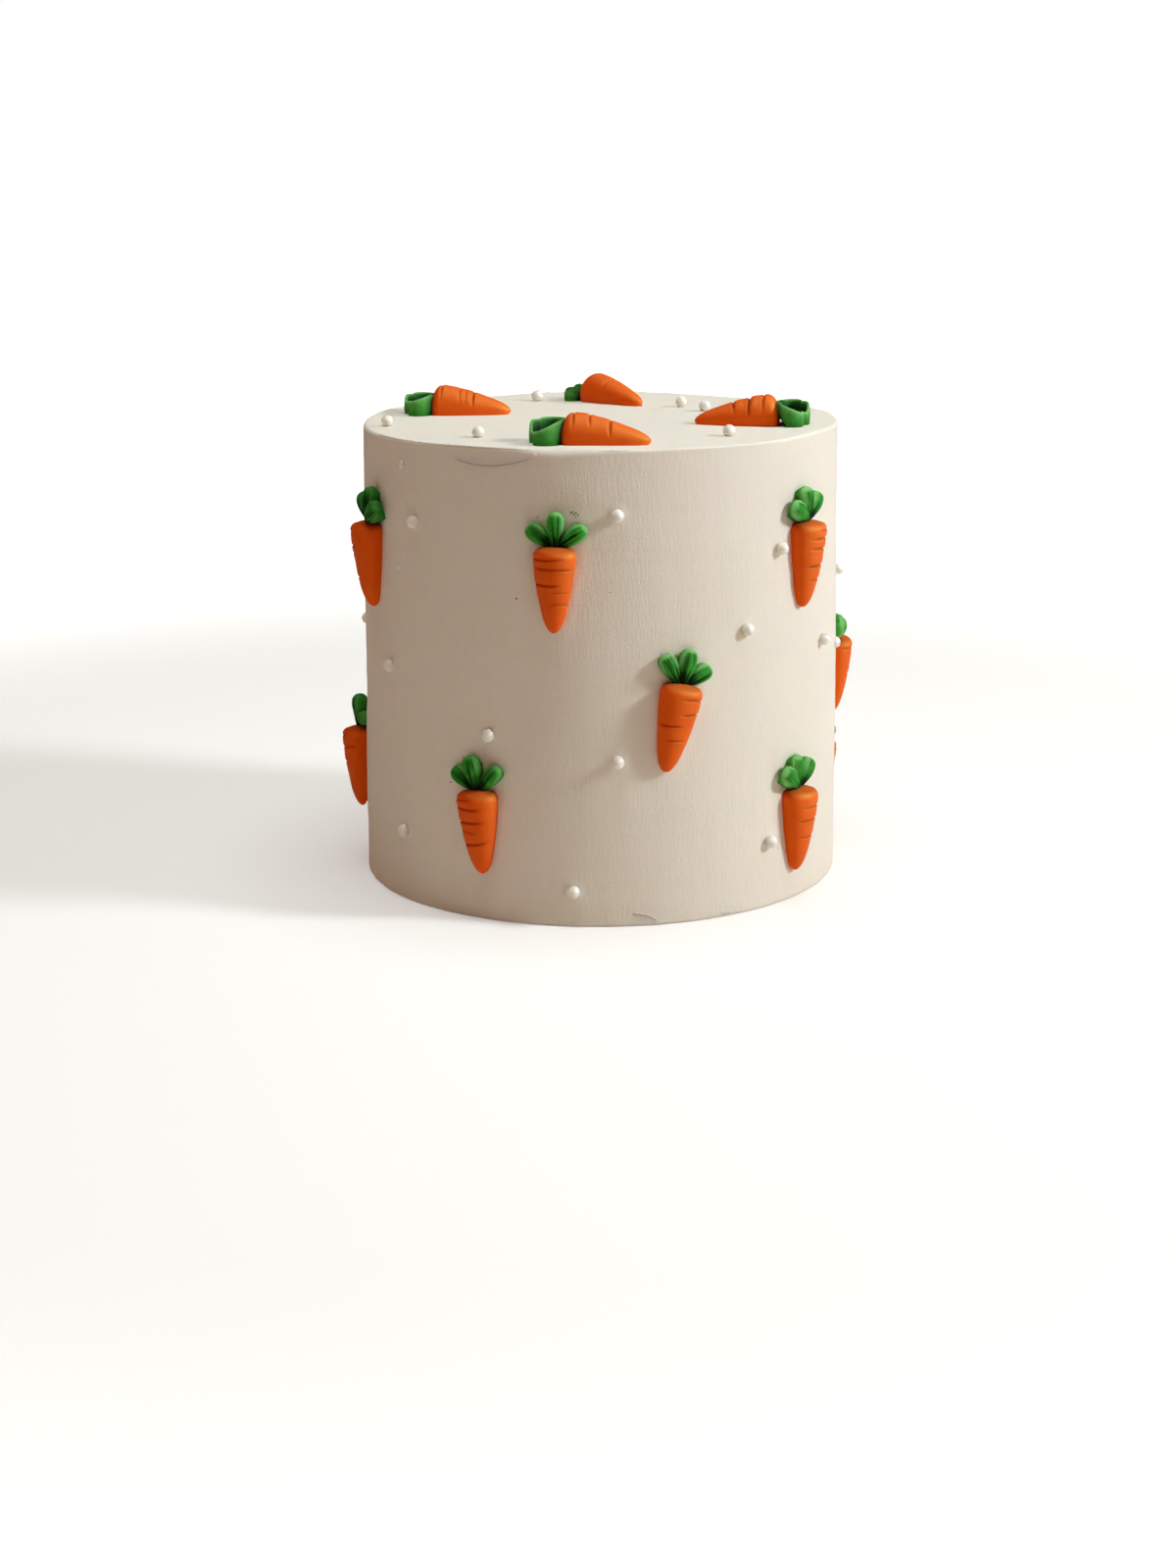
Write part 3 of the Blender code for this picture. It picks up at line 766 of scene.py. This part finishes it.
def addPearl(shape, centre, outward, dented, draw):
    ball = bmesh.ops.create_icosphere(shape, subdivisions=4, radius=pearl["radius"])["verts"]
    seed = draw.uniform(0, 50)
    size = draw.uniform(*pearl["sizes"])
    # small dents where pearls knocked together in the jar, mostly away from the cake
    dents = []
    for _ in range(draw.randint(*pearl["dents"])):
        way = Vector((draw.uniform(-1, 1), draw.uniform(-1, 1), draw.uniform(-1, 1)))
        dents.append(((way + outward * 0.7).normalized(), draw.uniform(*pearl["dentWidth"]),
                      dented * draw.uniform(0.3, 1.0)))
    for vertex in ball:
        way = vertex.co.normalized()
        reach = size * (1 + 0.014 * noise.noise(way * 1.6 + Vector((seed, 0, 0)))
                        + 0.004 * noise.noise(way * 6 + Vector((0, seed, 0))))
        for dent, width, depth in dents:
            reach -= depth * bell(way.angle(dent), width)
        vertex.co = (centre + way * pearl["radius"] * reach) * mm


def buildPearls():
    shape = bmesh.new()
    draw = random.Random(pearl["seed"])
    standing = pearl["radius"] - pearl["sunk"]
    for azimuth, height in allSidePearls:
        outward = onSide(azimuth, 0, 1)
        reach = cake["radius"] + sideRelief(azimuth, height) - pearlHollow(azimuth, height)
        reach += standing - pressedDeeper.get((azimuth, height), 0)
        addPearl(shape, onSide(azimuth, height, reach), outward, pearl["dentedSide"], draw)
    for x, y in topPearls:
        centre = Vector((x, y, cake["height"] + standing + pearl["topLift"]))
        addPearl(shape, centre, Vector((0, 0, 1)), pearl["dentedTop"], draw)
    return finishPiece("sugar_pearls", meshFrom(shape, "pearls"), pearlisedSugar, "sugar_pearl", "cake")


buildPearls()
print("sugar pearls set:", len(allSidePearls) + len(topPearls))


# Sugar paste carrots

carrotStyles = {
    "side": {
        "rootThickness": 7.6, "taper": 0.85, "markDepth": 0.42, "markWidth": 0.32,
        "leafLength": 10.1, "leafThickness": 4.3, "boxy": 1.0, "endRound": 1.0, "crown": (0.75, 2.6),
    },
    "top": {
        "rootThickness": 9.9, "taper": 1.2, "markDepth": 0.55, "markWidth": 0.36,
        "leafLength": 9.4, "leafThickness": 5.0, "boxy": 0.95, "endRound": 0.9, "crown": (0.56, 4.6),
    },
}
root = {
    "crownWidth": (0.7, 2.9), "belly": 0.32, "tuck": 25.0,
    "stations": 120, "around": 44, "lumps": 0.11, "crownShade": 0.75, "crownShadeEnds": 1.9, "seed": 40,
}
# A hand-held knife: how far a mark is askew and bowed, how much wider its painted shade is than the
# cut, and the lip below it and the broad shoulder above it, as how high and how far off.
knife = {
    "askew": (-0.55, 0.35), "bow": (-0.5, 0.5), "cutShade": 1.5, "fades": 0.45, "reach": 4.2,
    "lip": (0.08, 2.2), "shoulder": (0.3, 1.5),
}
leaf = {
    "width": 5.8, "footSpacing": 1.2, "widest": 0.68, "footShare": 0.38,
    "stations": 48, "around": 40, "lumps": 0.12, "seed": 20,
    "groove": 0.36, "lineWidth": 0.3, "grooveShade": 0.95, "footShade": 0.85, "rimHighlight": 0.66,
}
restGap = 0.3  # as in the frame: what lies on the buttercream starts this far off it
sinkIn = 1.2  # how far the hidden back of each piece goes down into it

# How each cluster was pressed together: for the left, middle and right leaf, its lift, how much
# longer and wider it is, how blunt its end, and its pressed lines, as (place across, reach, depth).
leafFashions = {
    "side_carrot_01": ((-0.3, 1.0, 1.0, 2.2, ()), (0.1, 1.08, 1.02, 2.9, ((-0.2, 0.7, 0.2),)),
                       (1.1, 1.0, 1.12, 2.2, ())),
    "side_carrot_02": ((0.0, 1.0, 0.96, 2.1, ((0.25, 0.5, 0.15),)),
                       (0.5, 1.05, 1.02, 2.1, ((0.05, 0.35, 0.3),)),
                       (0.0, 1.0, 0.98, 2.1, ((-0.1, 0.75, 0.4),))),
    "side_carrot_03": ((0.9, 0.98, 1.1, 2.2, ()),
                       (0.2, 1.03, 1.12, 2.7, ((0.1, 0.75, 0.25), (0.55, 0.85, 0.2))),
                       (-0.2, 1.0, 0.95, 2.6, ((-0.3, 0.8, 0.3), (0.25, 0.7, 0.25)))),
    "side_carrot_05": ((0.1, 1.02, 0.95, 2.3, ((0.4, 0.8, 0.25),)),
                       (0.5, 1.06, 1.02, 2.1, ((-0.3, 0.5, 0.25), (0.15, 0.55, 0.3))),
                       (0.1, 0.98, 0.95, 2.1, ((0.35, 0.85, 0.35), (-0.3, 0.5, 0.2)))),
    "side_carrot_07": ((-0.2, 0.98, 1.05, 2.2, ((0.1, 0.4, 0.15),)),
                       (0.6, 1.08, 1.02, 2.2, ((0.0, 0.3, 0.15),)),
                       (0.2, 1.0, 1.0, 2.1, ((-0.25, 0.6, 0.35), (0.15, 0.45, 0.2)))),
    "side_carrot_08": ((0.8, 1.0, 1.1, 2.2, ()),
                       (0.2, 1.06, 1.05, 2.5, ((0.2, 0.7, 0.25), (0.6, 0.6, 0.2))),
                       (-0.1, 1.0, 1.0, 2.5, ((-0.35, 0.6, 0.3), (0.1, 0.7, 0.25)))),
    "side_carrot_06": ((-1.8, 0.8, 0.8, 2.2, ()), (0.1, 1.1, 1.05, 2.4, ()), (-1.9, 0.72, 0.8, 2.2, ())),
    "side_carrot_04": ((0.3, 1.05, 1.25, 2.3, ()), (-0.3, 0.74, 1.0, 2.3, ()), (0.0, 0.9, 1.0, 2.2, ())),
    "top_carrot_03": ((-0.4, 0.9, 0.95, 2.4, ()), (0.0, 0.9, 0.95, 2.4, ()), (-0.4, 0.9, 0.95, 2.4, ())),
}
# Each cluster's own painted shade and highlight: how much deeper its green, and how pale its rims.
leafTones = {
    "side_carrot_01": (0.34, 0.25), "side_carrot_06": (0.3, 0.3), "side_carrot_07": (0.12, 0.45),
    "side_carrot_03": (0.0, 1.25), "side_carrot_05": (0.0, 1.3), "side_carrot_08": (0.0, 1.2),
    "top_carrot_03": (0.35, 0.4), "top_carrot_04": (0.0, 1.15),
}
# The leaves on top are folded into a cup, open upwards: the side that the near wall is on, the
# near wall's height at its foot and its end, the far wall's height, the height of the hollow, how
# far the foot is lifted off the cake, and how far the cup reaches out beyond the plain length.
leafCups = {
    "top_carrot_01": (-1, 6.8, 3.9, 6.2, 2.4, 0.0, 0.8),
    "top_carrot_02": (-1, 7.6, 3.4, 7.0, 1.8, 0.0, 1.6),
    "top_carrot_04": (1, 7.4, 3.8, 7.1, 2.6, 2.6, 0.9),
}
cupShape = {"around": 120, "heart": 4.6, "wall": 1.1, "length": 9.4, "width": 6.3, "smoothing": 14}
spareFashions = [leafFashions[f"side_carrot_0{i}"] for i in (5, 2, 7, 8, 3)]


def crownShare(along, flat, rounding):
    corner = max(0.0, 1 - along / rounding)
    return flat + (1 - flat) * math.sqrt(1 - corner * corner)


def sectionAngles(count):
    tuck = math.radians(root["tuck"])
    return [-tuck + (math.pi + 2 * tuck) * i / (count - 1) for i in range(count)]


def sectionPoint(angle, halfWidth, thickness, closing=1.0, boxy=1.0):
    # a flat-backed round outline: full at the belly, tucked in below it; closing flattens it
    # towards the belly from above and below, where a piece rounds over at its end
    belly = thickness * root["belly"]
    rise, spread = math.sin(angle), math.cos(angle)
    if rise < 0:
        above = max(0.0, belly * (1 + rise / math.sin(math.radians(root["tuck"]))))
        return halfWidth * spread, belly + (above - belly) * closing
    spread = math.copysign(abs(spread) ** boxy, spread)
    return halfWidth * spread, belly + (thickness - belly) * rise ** boxy * closing


def handHeld(marks, draw):
    # each mark a little askew and bowed, in mm over the root's half width
    return [(*mark, draw.uniform(*knife["askew"]), draw.uniform(*knife["bow"])) for mark in marks]


def knifeRelief(along, angle, length, marks, style):
    # how much painted shade there is, 0 to 1, and how far the paste stands off
    place = math.cos(angle)
    cut = cutShade = raised = 0.0
    width, fades = style["markWidth"], knife["fades"]
    (lip, lipOff), (shoulder, shoulderOff) = knife["lip"], knife["shoulder"]
    for share, start, end, strength, askew, bow in marks:
        away = along - (share * length + askew * place + bow * place * place)
        if abs(away) > knife["reach"]:
            continue
        within = smoothstep((place - start) / fades + 0.5) * smoothstep((end - place) / fades + 0.5)
        within *= smoothstep(math.sin(angle) * 2.5 + 0.15) * strength
        cut += within * bell(away, width)
        # painted shade over the cut, wider than the cut itself
        cutShade += within * bell(away, knife["cutShade"] * width)
        # paste pushed aside
        raised += within * (lip * bell(away - lipOff * width, width)
                            + shoulder * bell(away + shoulderOff, shoulderOff))
    return cutShade, (raised - cut) * style["markDepth"]


def rootStations(length):
    # closer together towards the tip
    count = root["stations"]
    return [length * (1 - (1 - i / count) ** 1.25) * 0.9985 for i in range(count + 1)]


def buildRoot(length, width, style, marks, draw):
    angles = sectionAngles(root["around"])
    seed = draw.uniform(0, 60)
    marks = handHeld(marks, draw)
    rings, cuts = [], []
    for along in rootStations(length):
        t = along / length
        taper, tip = taperShare(t), math.sqrt(1 - t ** 14)
        halfWidth = taper * tip * crownShare(along, *root["crownWidth"]) * width / 2
        rise = taper ** style["taper"] * crownShare(along, *style["crown"])
        # the underside lifts with the rounding of both ends
        closing = tip * (0.9 + 0.1 * crownShare(along, 0.0, 2.0))
        ring = []
        for angle in angles:
            across, above = sectionPoint(angle, halfWidth, rise * style["rootThickness"], closing)
            cutShade, relief = knifeRelief(along, angle, length, marks, style)
            lump = root["lumps"] * tip * ripple(across, along, above, 5.5, 5.5, seed)
            push = relief + lump * smoothstep(math.sin(angle) * 2 + 0.6)
            ring.append(Vector((across + push * math.cos(angle), -along,
                                above + push * math.sin(angle))))
            # painted shade at the crown's end, under the leaves
            shaded = 1 - smoothstep(along / root["crownShadeEnds"])
            cuts.append(min(1.0, cutShade + root["crownShade"] * shaded))
        rings.append(ring)
    # the crown domes up a little between the leaves
    crown = []
    first = rings[0]
    heart = Vector((0, 0, style["rootThickness"] * 0.30))
    for share, lift in ((0.35, 0.62), (0.62, 0.5), (0.85, 0.27)):
        crown.append([heart.lerp(Vector((p.x, 0, p.z)), share) + Vector((0, lift, 0)) for p in first])
    # the crown's domed rings take the same painted shade
    cuts = [root["crownShade"]] * (3 * len(angles)) + cuts + [root["crownShade"], 0.0]
    caps = (heart + Vector((0, 0.66, 0)), Vector((0, -length, rings[-1][0].z + 0.5)))
    return crown + rings, caps, cuts


def buildLobe(length, width, thickness, style, blunt, lines, seed):
    angles = sectionAngles(leaf["around"])
    widest = leaf["widest"]
    rings, pressed, rims = [], [], []
    for i in range(leaf["stations"] + 1):
        s = (1 - (1 - i / leaf["stations"]) ** 1.5) * 0.9985
        if s < widest:
            swell = math.sin(math.pi / 2 * s / widest)
            share, height = leaf["footShare"] + (1 - leaf["footShare"]) * swell, 0.62 + 0.38 * swell
        else:
            share, height = (1 - ((s - widest) / (1 - widest)) ** blunt) ** (1 / blunt), 1.0
        closing = share ** style["endRound"] if s > widest else 1.0
        ring = []
        for angle in angles:
            across, above = sectionPoint(angle, share * width / 2, height * thickness, closing,
                                         style["boxy"])
            place = math.cos(angle)
            facing = smoothstep(math.sin(angle) * 2.2)
            line = 0.0
            for at, reach, depth in lines:
                run = smoothstep((reach - s) / 0.25)
                line += depth * run * bell((place - at) * share * width / 2, leaf["lineWidth"])
            # fine grooves run from the foot out to the end
            streak = noise.noise(Vector((place * 4.2 + seed, s * 1.1, seed * 0.7)))
            groove = smoothstep((streak + 0.02) / 0.3) * share
            lump = leaf["lumps"] * share * ripple(across, s * length, above, 3.2, 3.2, seed)
            push = (lump - line - leaf["groove"] * groove) * facing
            ring.append(Vector((across + push * 0.2 * place, s * length, above + push)))
            # painted shade in the grooves, the pressed lines and towards the foot
            shadow = leaf["grooveShade"] * groove * (1 - 0.6 * s)
            shadow += leaf["footShade"] * (1 - smoothstep((s - 0.04) / 0.42))
            pressed.append(min(1.0, line * 2.2 * facing + shadow))
            # painted highlight on the upper rims and at the end
            rim = max(smoothstep((abs(place) - 0.5) / 0.3) * bell(math.sin(angle) - 0.45, 0.4),
                      smoothstep((s - 0.86) / 0.1) * smoothstep(math.sin(angle) * 2))
            rims.append(leaf["rimHighlight"] * rim * smoothstep((s - 0.25) / 0.4))
        rings.append(ring)
    foot = Vector((0, 0, thickness * 0.25))
    end = Vector((0, length, rings[-1][0].z + 0.3))
    return rings, (foot, end), pressed + [0.0, 0.0], rims + [0.0, 0.0]


def cupReach(angle, leans):
    # from the cup's heart out to the edge of the furthest lobe; angle 0 is to the right
    reach = 0.0
    for side, lean in zip((-1, 0, 1), leans):
        turn = math.radians(lean)
        alongX, alongY = math.sin(turn), math.cos(turn)
        for step in range(1, 180):
            r = step * 0.06
            x = r * math.cos(angle) - side * leaf["footSpacing"]
            y = r * math.sin(angle) + cupShape["heart"]
            s = (x * alongX + y * alongY) / cupShape["length"]
            across = abs(x * alongY - y * alongX) / (cupShape["width"] / 2)
            if 0 < s < 1 and across < math.sqrt(max(0.0, 1 - abs((s - 0.58) / 0.42) ** 2.6)) or (
                    0 <= s < 0.6 and across < 0.5 + 0.5 * s / 0.6):
                reach = max(reach, r)
    return reach


def buildCup(cup, leans, seed):
    nearSide, footHigh, endHigh, farHigh, low, lifted, further = cup
    count, heart = cupShape["around"], cupShape["heart"]
    reaches = [cupReach(2 * math.pi * i / count, leans) for i in range(count)]
    for _ in range(cupShape["smoothing"]):
        reaches = [(reaches[i - 1] + 2 * reaches[i] + reaches[(i + 1) % count]) / 4
                   for i in range(count)]
    # each level: how far in from the outline, how high against the rim and the hollow, its painted shade
    # in the fold, and its painted rim highlight
    wall = cupShape["wall"]
    levels = [(2.4, -0.1, 0.9, 0), (0.5, 0.0, 0.7, 0), (0.1, 0.1, 0.3, 0), (-0.1, 0.35, 0.08, 0.1),
              (-0.05, 0.6, 0.0, 0.2), (0.03, 0.8, 0.0, 0.5), (0.12, 0.92, 0.0, 0.9),
              (0.34, 0.99, 0.0, 1), (0.62, 1.0, 0.0, 1), (wall - 0.2, 0.97, 0.0, 0.8),
              (wall, 0.8, 0.5, 0.1), (wall + 0.15, 0.5, 0.78, 0), (wall + 0.45, 0.2, 0.95, 0),
              (wall + 1.0, 0.04, 0.95, 0), (wall + 1.8, 0.0, 0.9, 0)]
    outside = 10  # so many levels climb the outer wall; the others go down the inner one
    rings, pressed, rims = [], [], []
    for number, (inset, share, fold, rim) in enumerate(levels):
        ring = []
        for i, reach in enumerate(reaches):
            angle = 2 * math.pi * i / count
            r = max(reach * 0.25, reach - inset)
            x, y = r * math.cos(angle), heart + r * math.sin(angle)
            y += further * smoothstep(y / 8)
            toEnd = min(1.0, max(0.0, y / 9))
            near = footHigh + (endHigh - footHigh) * toEnd
            top = near + (farHigh - near) * smoothstep((x * -nearSide + 1.6) / 3.0)
            bottom = lifted * smoothstep((3.4 - y) / 3.4)
            if number < outside:
                z = bottom + (top - bottom) * share
            else:
                z = low + bottom * 0.4 + (top - low) * share
            lump = 0.7 * leaf["lumps"] * ripple(x, y, z, 4.2, 4.2, seed)
            streak = max(0.0, noise.noise(Vector((i * 0.42, z * 0.22 - y * 0.15, seed))))
            groove = smoothstep(streak / 0.3) if number in (3, 4, 5, 11, 12) else 0.0
            out = lump - 0.25 * leaf["groove"] * groove
            ring.append(Vector((x + out * math.cos(angle), y + out * math.sin(angle), z + lump * share)))
            # painted shade in the fold, the hollow and towards the foot; painted highlight on the rim
            pressed.append(min(1.0, fold + 0.15 * groove + 0.6 * smoothstep((2.2 - y) / 2)))
            rims.append(leaf["rimHighlight"] * rim * (1 - 0.5 * smoothstep((2.0 - y) / 2)))
        rings.append(ring)
    caps = (Vector((0, heart + further / 2, 0)), Vector((0, heart + further / 2, low)))
    return rings, caps, pressed + [0.9, 0.9], rims + [0.0, 0.0]


def pressedIn(above):
    # the back is pressed into the buttercream; what stands clear of it keeps its place
    return above - sinkIn * max(0.0, 1 - max(above, 0.0) / 1.3) ** 2


def settleOnSide(points, azimuth, height, lean):
    # lean it, bend it round the cake, and turn it to its azimuth
    cosine, sine = math.cos(math.radians(lean)), math.sin(math.radians(lean))
    settled = []
    for point in points:
        across = point.x * cosine - point.y * sine
        along = point.x * sine + point.y * cosine
        above = pressedIn(point.z)
        turn = math.degrees(across / cake["radius"])
        settled.append(onSide(azimuth + turn, height + along, cake["radius"] + restGap + above) * mm)
    return settled


def settleOnTop(points, x, y, heading):
    cosine, sine = math.cos(math.radians(heading)), math.sin(math.radians(heading))
    settled = []
    for point in points:
        along, across = -point.y, point.x
        above = pressedIn(point.z)
        settled.append(Vector((x + along * cosine - across * sine, y + along * sine + across * cosine,
                               cake["height"] + restGap + above)) * mm)
    return settled


def skinObject(name, skins, attributes, settle, material, slotName, node):
    shape = bmesh.new()
    for rings, caps in skins:
        addSkin(shape, [settle(ring) for ring in rings], settle(caps))
    bmesh.ops.recalc_face_normals(shape, faces=shape.faces)
    return finishPiece(name, meshFrom(shape, name, **attributes), material, slotName, node)


def buildLobes(leans, style, fashion, draw):
    skins, pressed, rims = [], [], []
    for side, lean, (lift, longer, wider, blunt, lines) in zip((-1, 0, 1), leans, fashion):
        size = 1 if side == 0 else 0.97
        rings, caps, lobeShade, lobeRims = buildLobe(
            style["leafLength"] * size * longer * draw.uniform(0.97, 1.03),
            leaf["width"] * wider * draw.uniform(0.95, 1.03),
            style["leafThickness"] * size, style, blunt, lines, draw.uniform(0, 60))
        place = Matrix.Translation((side * leaf["footSpacing"], 0, 0))
        place @= Matrix.Rotation(-math.radians(lean), 4, "Z")
        for ring in rings + [caps]:
            for point in ring:
                raised = point.z + (lift if point.z > 0.01 else 0)
                point.xyz = place @ Vector((point.x, point.y, raised))
        skins.append((rings, caps))
        pressed += lobeShade
        rims += lobeRims
    lowest = min(point.y for rings, _ in skins for point in rings[0])
    for rings, caps in skins:
        for ring in rings + [caps]:
            for point in ring:
                point.y -= lowest + 0.1
    return skins, pressed, rims


def buildCarrot(name, style, shape, cuts, fashion, index, settle):
    length, width, leans = shape
    rings, caps, darkened = buildRoot(length, width, style, cuts, random.Random(root["seed"] + index))
    skinObject(f"{name}_root_paste", [(rings, caps)], {"cutAndCrownShade": darkened}, settle, orangePaste,
               "orange_paste", f"{name}_root")
    draw = random.Random(leaf["seed"] + index)
    if name in leafCups:
        rings, caps, pressed, rims = buildCup(leafCups[name], leans, draw.uniform(0, 60))
        skins = [(rings, caps)]
    else:
        skins, pressed, rims = buildLobes(leans, style, fashion, draw)
    # per cluster: added painted shade, and the strength of the painted rim highlight
    addedShade, rimHighlightScale = leafTones.get(name, (0.0, 1.0))
    pressed = [min(1.0, share + addedShade) for share in pressed]
    rims = [min(1.0, share * rimHighlightScale) for share in rims]
    skinObject(f"{name}_leaf_paste", skins, {"pressedLine": pressed, "dryRim": rims}, settle,
               greenPaste, "green_paste", f"{name}_leaves")


def buildCarrots():
    for index, (name, (azimuth, height, lean, *shape)) in enumerate(sideCarrots.items()):
        fashion = leafFashions.get(name, spareFashions[index % len(spareFashions)])
        buildCarrot(name, carrotStyles["side"], shape, sideMarks[index % len(sideMarks)], fashion, index,
                    lambda points: settleOnSide(points, azimuth, height, lean))
    print("side carrots moulded")
    for index, (name, (x, y, heading, *shape)) in enumerate(topCarrots.items()):
        buildCarrot(name, carrotStyles["top"], shape, topMarks[index], leafFashions.get(name), -1 - index,
                    lambda points: settleOnTop(points, x, y, heading))
    print("top carrots moulded")


buildCarrots()


# Camera, light and floor

cameraSet = {
    "place": (0.0, -0.8897, 0.2585), "down": 9.0, "yaw": -0.0037, "roll": -0.0069,
    "lens": 61.92, "shiftY": -0.1714,
}


def setCamera():
    down, yaw, roll = math.radians(cameraSet["down"]), cameraSet["yaw"], cameraSet["roll"]
    forward = Vector((math.sin(yaw) * math.cos(down), math.cos(yaw) * math.cos(down), -math.sin(down)))
    right = Vector((math.cos(yaw), -math.sin(yaw), 0))
    up = right.cross(forward)
    rolledRight = right * math.cos(roll) + up * math.sin(roll)
    rolledUp = up * math.cos(roll) - right * math.sin(roll)
    stand = Matrix((rolledRight, rolledUp, -forward)).transposed().to_4x4()
    stand.translation = cameraSet["place"]
    lens = bpy.data.cameras.new("camera")
    lens.sensor_width = 36
    lens.lens = cameraSet["lens"]
    lens.shift_y = cameraSet["shiftY"]
    lens.clip_start = 0.01
    camera = bpy.data.objects.new("camera", lens)
    camera.matrix_world = stand
    bpy.context.scene.collection.objects.link(camera)
    bpy.context.scene.camera = camera


# azimuth, elevation, distance and size in metres, strength and colour, and how much stronger it is
# in reflections
lights = {
    "window": (75, 29, 1.6, 0.32, 19.7, (0.79, 0.87, 0.94), 5.8),
    "overhead": (0, 88, 1.6, 1.2, 17.2, (0.775, 0.97, 1.0), 1.2),
}
room = {"ambient": "#FF9438", "ambientStrength": 0.18}
# The floor's own glow, which only the camera sees: even near the cake, white further out.
floorGlow = {"near": 0.3, "far": 1.0, "from": 0.32, "to": 0.75, "tint": "#F6F9FF"}


def setLights():
    aim = Vector((0, 0, cake["height"] / 2)) * mm
    for name, (azimuth, elevation, distance, size, power, colour, shine) in lights.items():
        for part, strength in (("light", 1.0), ("shine", shine)):
            lamp = bpy.data.lights.new(f"{name} {part}", "AREA")
            lamp.shape = "DISK"
            lamp.size = size
            lamp.energy = power * strength
            lamp.color = colour
            holder = bpy.data.objects.new(f"{name} {part}", lamp)
            holder.visible_glossy = part == "shine"
            holder.visible_diffuse = part == "light"
            level = distance * math.cos(math.radians(elevation))
            holder.location = aim + onSide(azimuth, distance * math.sin(math.radians(elevation)), level)
            holder.rotation_euler = (aim - holder.location).to_track_quat("-Z", "Y").to_euler()
            bpy.context.scene.collection.objects.link(holder)


def setWorld():
    world = bpy.data.worlds.new("studio")
    world.use_nodes = True
    tree = world.node_tree
    tree.nodes.clear()
    ambient = addNode(tree, "Background", {
        "Color": linear(room["ambient"]), "Strength": room["ambientStrength"],
    })
    backdrop = addNode(tree, "Background", {"Color": (1, 1, 1, 1), "Strength": 1.0})
    # the white studio wall shows as white, but lights the cake only softly
    ray = addNode(tree, "LightPath")
    both = addNode(tree, "MixShader", {
        0: ray.outputs["Is Camera Ray"], 1: ambient.outputs[0], 2: backdrop.outputs[0],
    })
    addNode(tree, "OutputWorld", {"Surface": both.outputs[0]})
    bpy.context.scene.world = world


def buildFloor():
    # Matt white paint: evenly pale, with a faint roller texture of 2.5 mm.
    made, tree, place = blankMaterial("matt white floor")
    roller = addNode(tree, "TexNoise", {"Vector": place, "Scale": perMm / 2.5, "Detail": 2.0})
    relief = addNode(tree, "Bump", {
        "Strength": 0.1, "Distance": 0.2 * mm, "Height": roller.outputs["Fac"],
    })
    paint = addNode(tree, "BsdfDiffuse", {
        "Color": linear("#E6E2D9"), "Normal": relief.outputs["Normal"],
    })
    ray = addNode(tree, "LightPath")
    reach = addNode(tree, "VectorMath", {0: place}, operation="LENGTH")
    spread = addNode(tree, "MapRange", {
        "Value": reach.outputs["Value"], "From Min": floorGlow["from"], "From Max": floorGlow["to"],
        "To Min": floorGlow["near"], "To Max": floorGlow["far"],
    }, interpolation_type="SMOOTHSTEP")
    lift = addNode(tree, "Math", {
        0: ray.outputs["Is Camera Ray"], 1: spread.outputs["Result"],
    }, operation="MULTIPLY")
    glow = addNode(tree, "Emission", {
        "Color": linear(floorGlow["tint"]), "Strength": lift.outputs[0],
    })
    surface = addNode(tree, "AddShader", {0: paint.outputs[0], 1: glow.outputs[0]})
    addNode(tree, "OutputMaterial", {"Surface": surface.outputs[0]})
    shape = bmesh.new()
    bmesh.ops.create_grid(shape, x_segments=8, y_segments=8, size=6.0)
    mesh = meshFrom(shape, "floor")
    mesh.materials.append(made)
    floor = bpy.data.objects.new("floor", mesh)
    floor.location.z = -0.1 * mm
    bpy.context.scene.collection.objects.link(floor)


setCamera()
setLights()
setWorld()
buildFloor()
bpy.context.scene.view_settings.view_transform = "Standard"
bpy.context.scene.view_settings.look = "None"
print("camera, light and floor set")
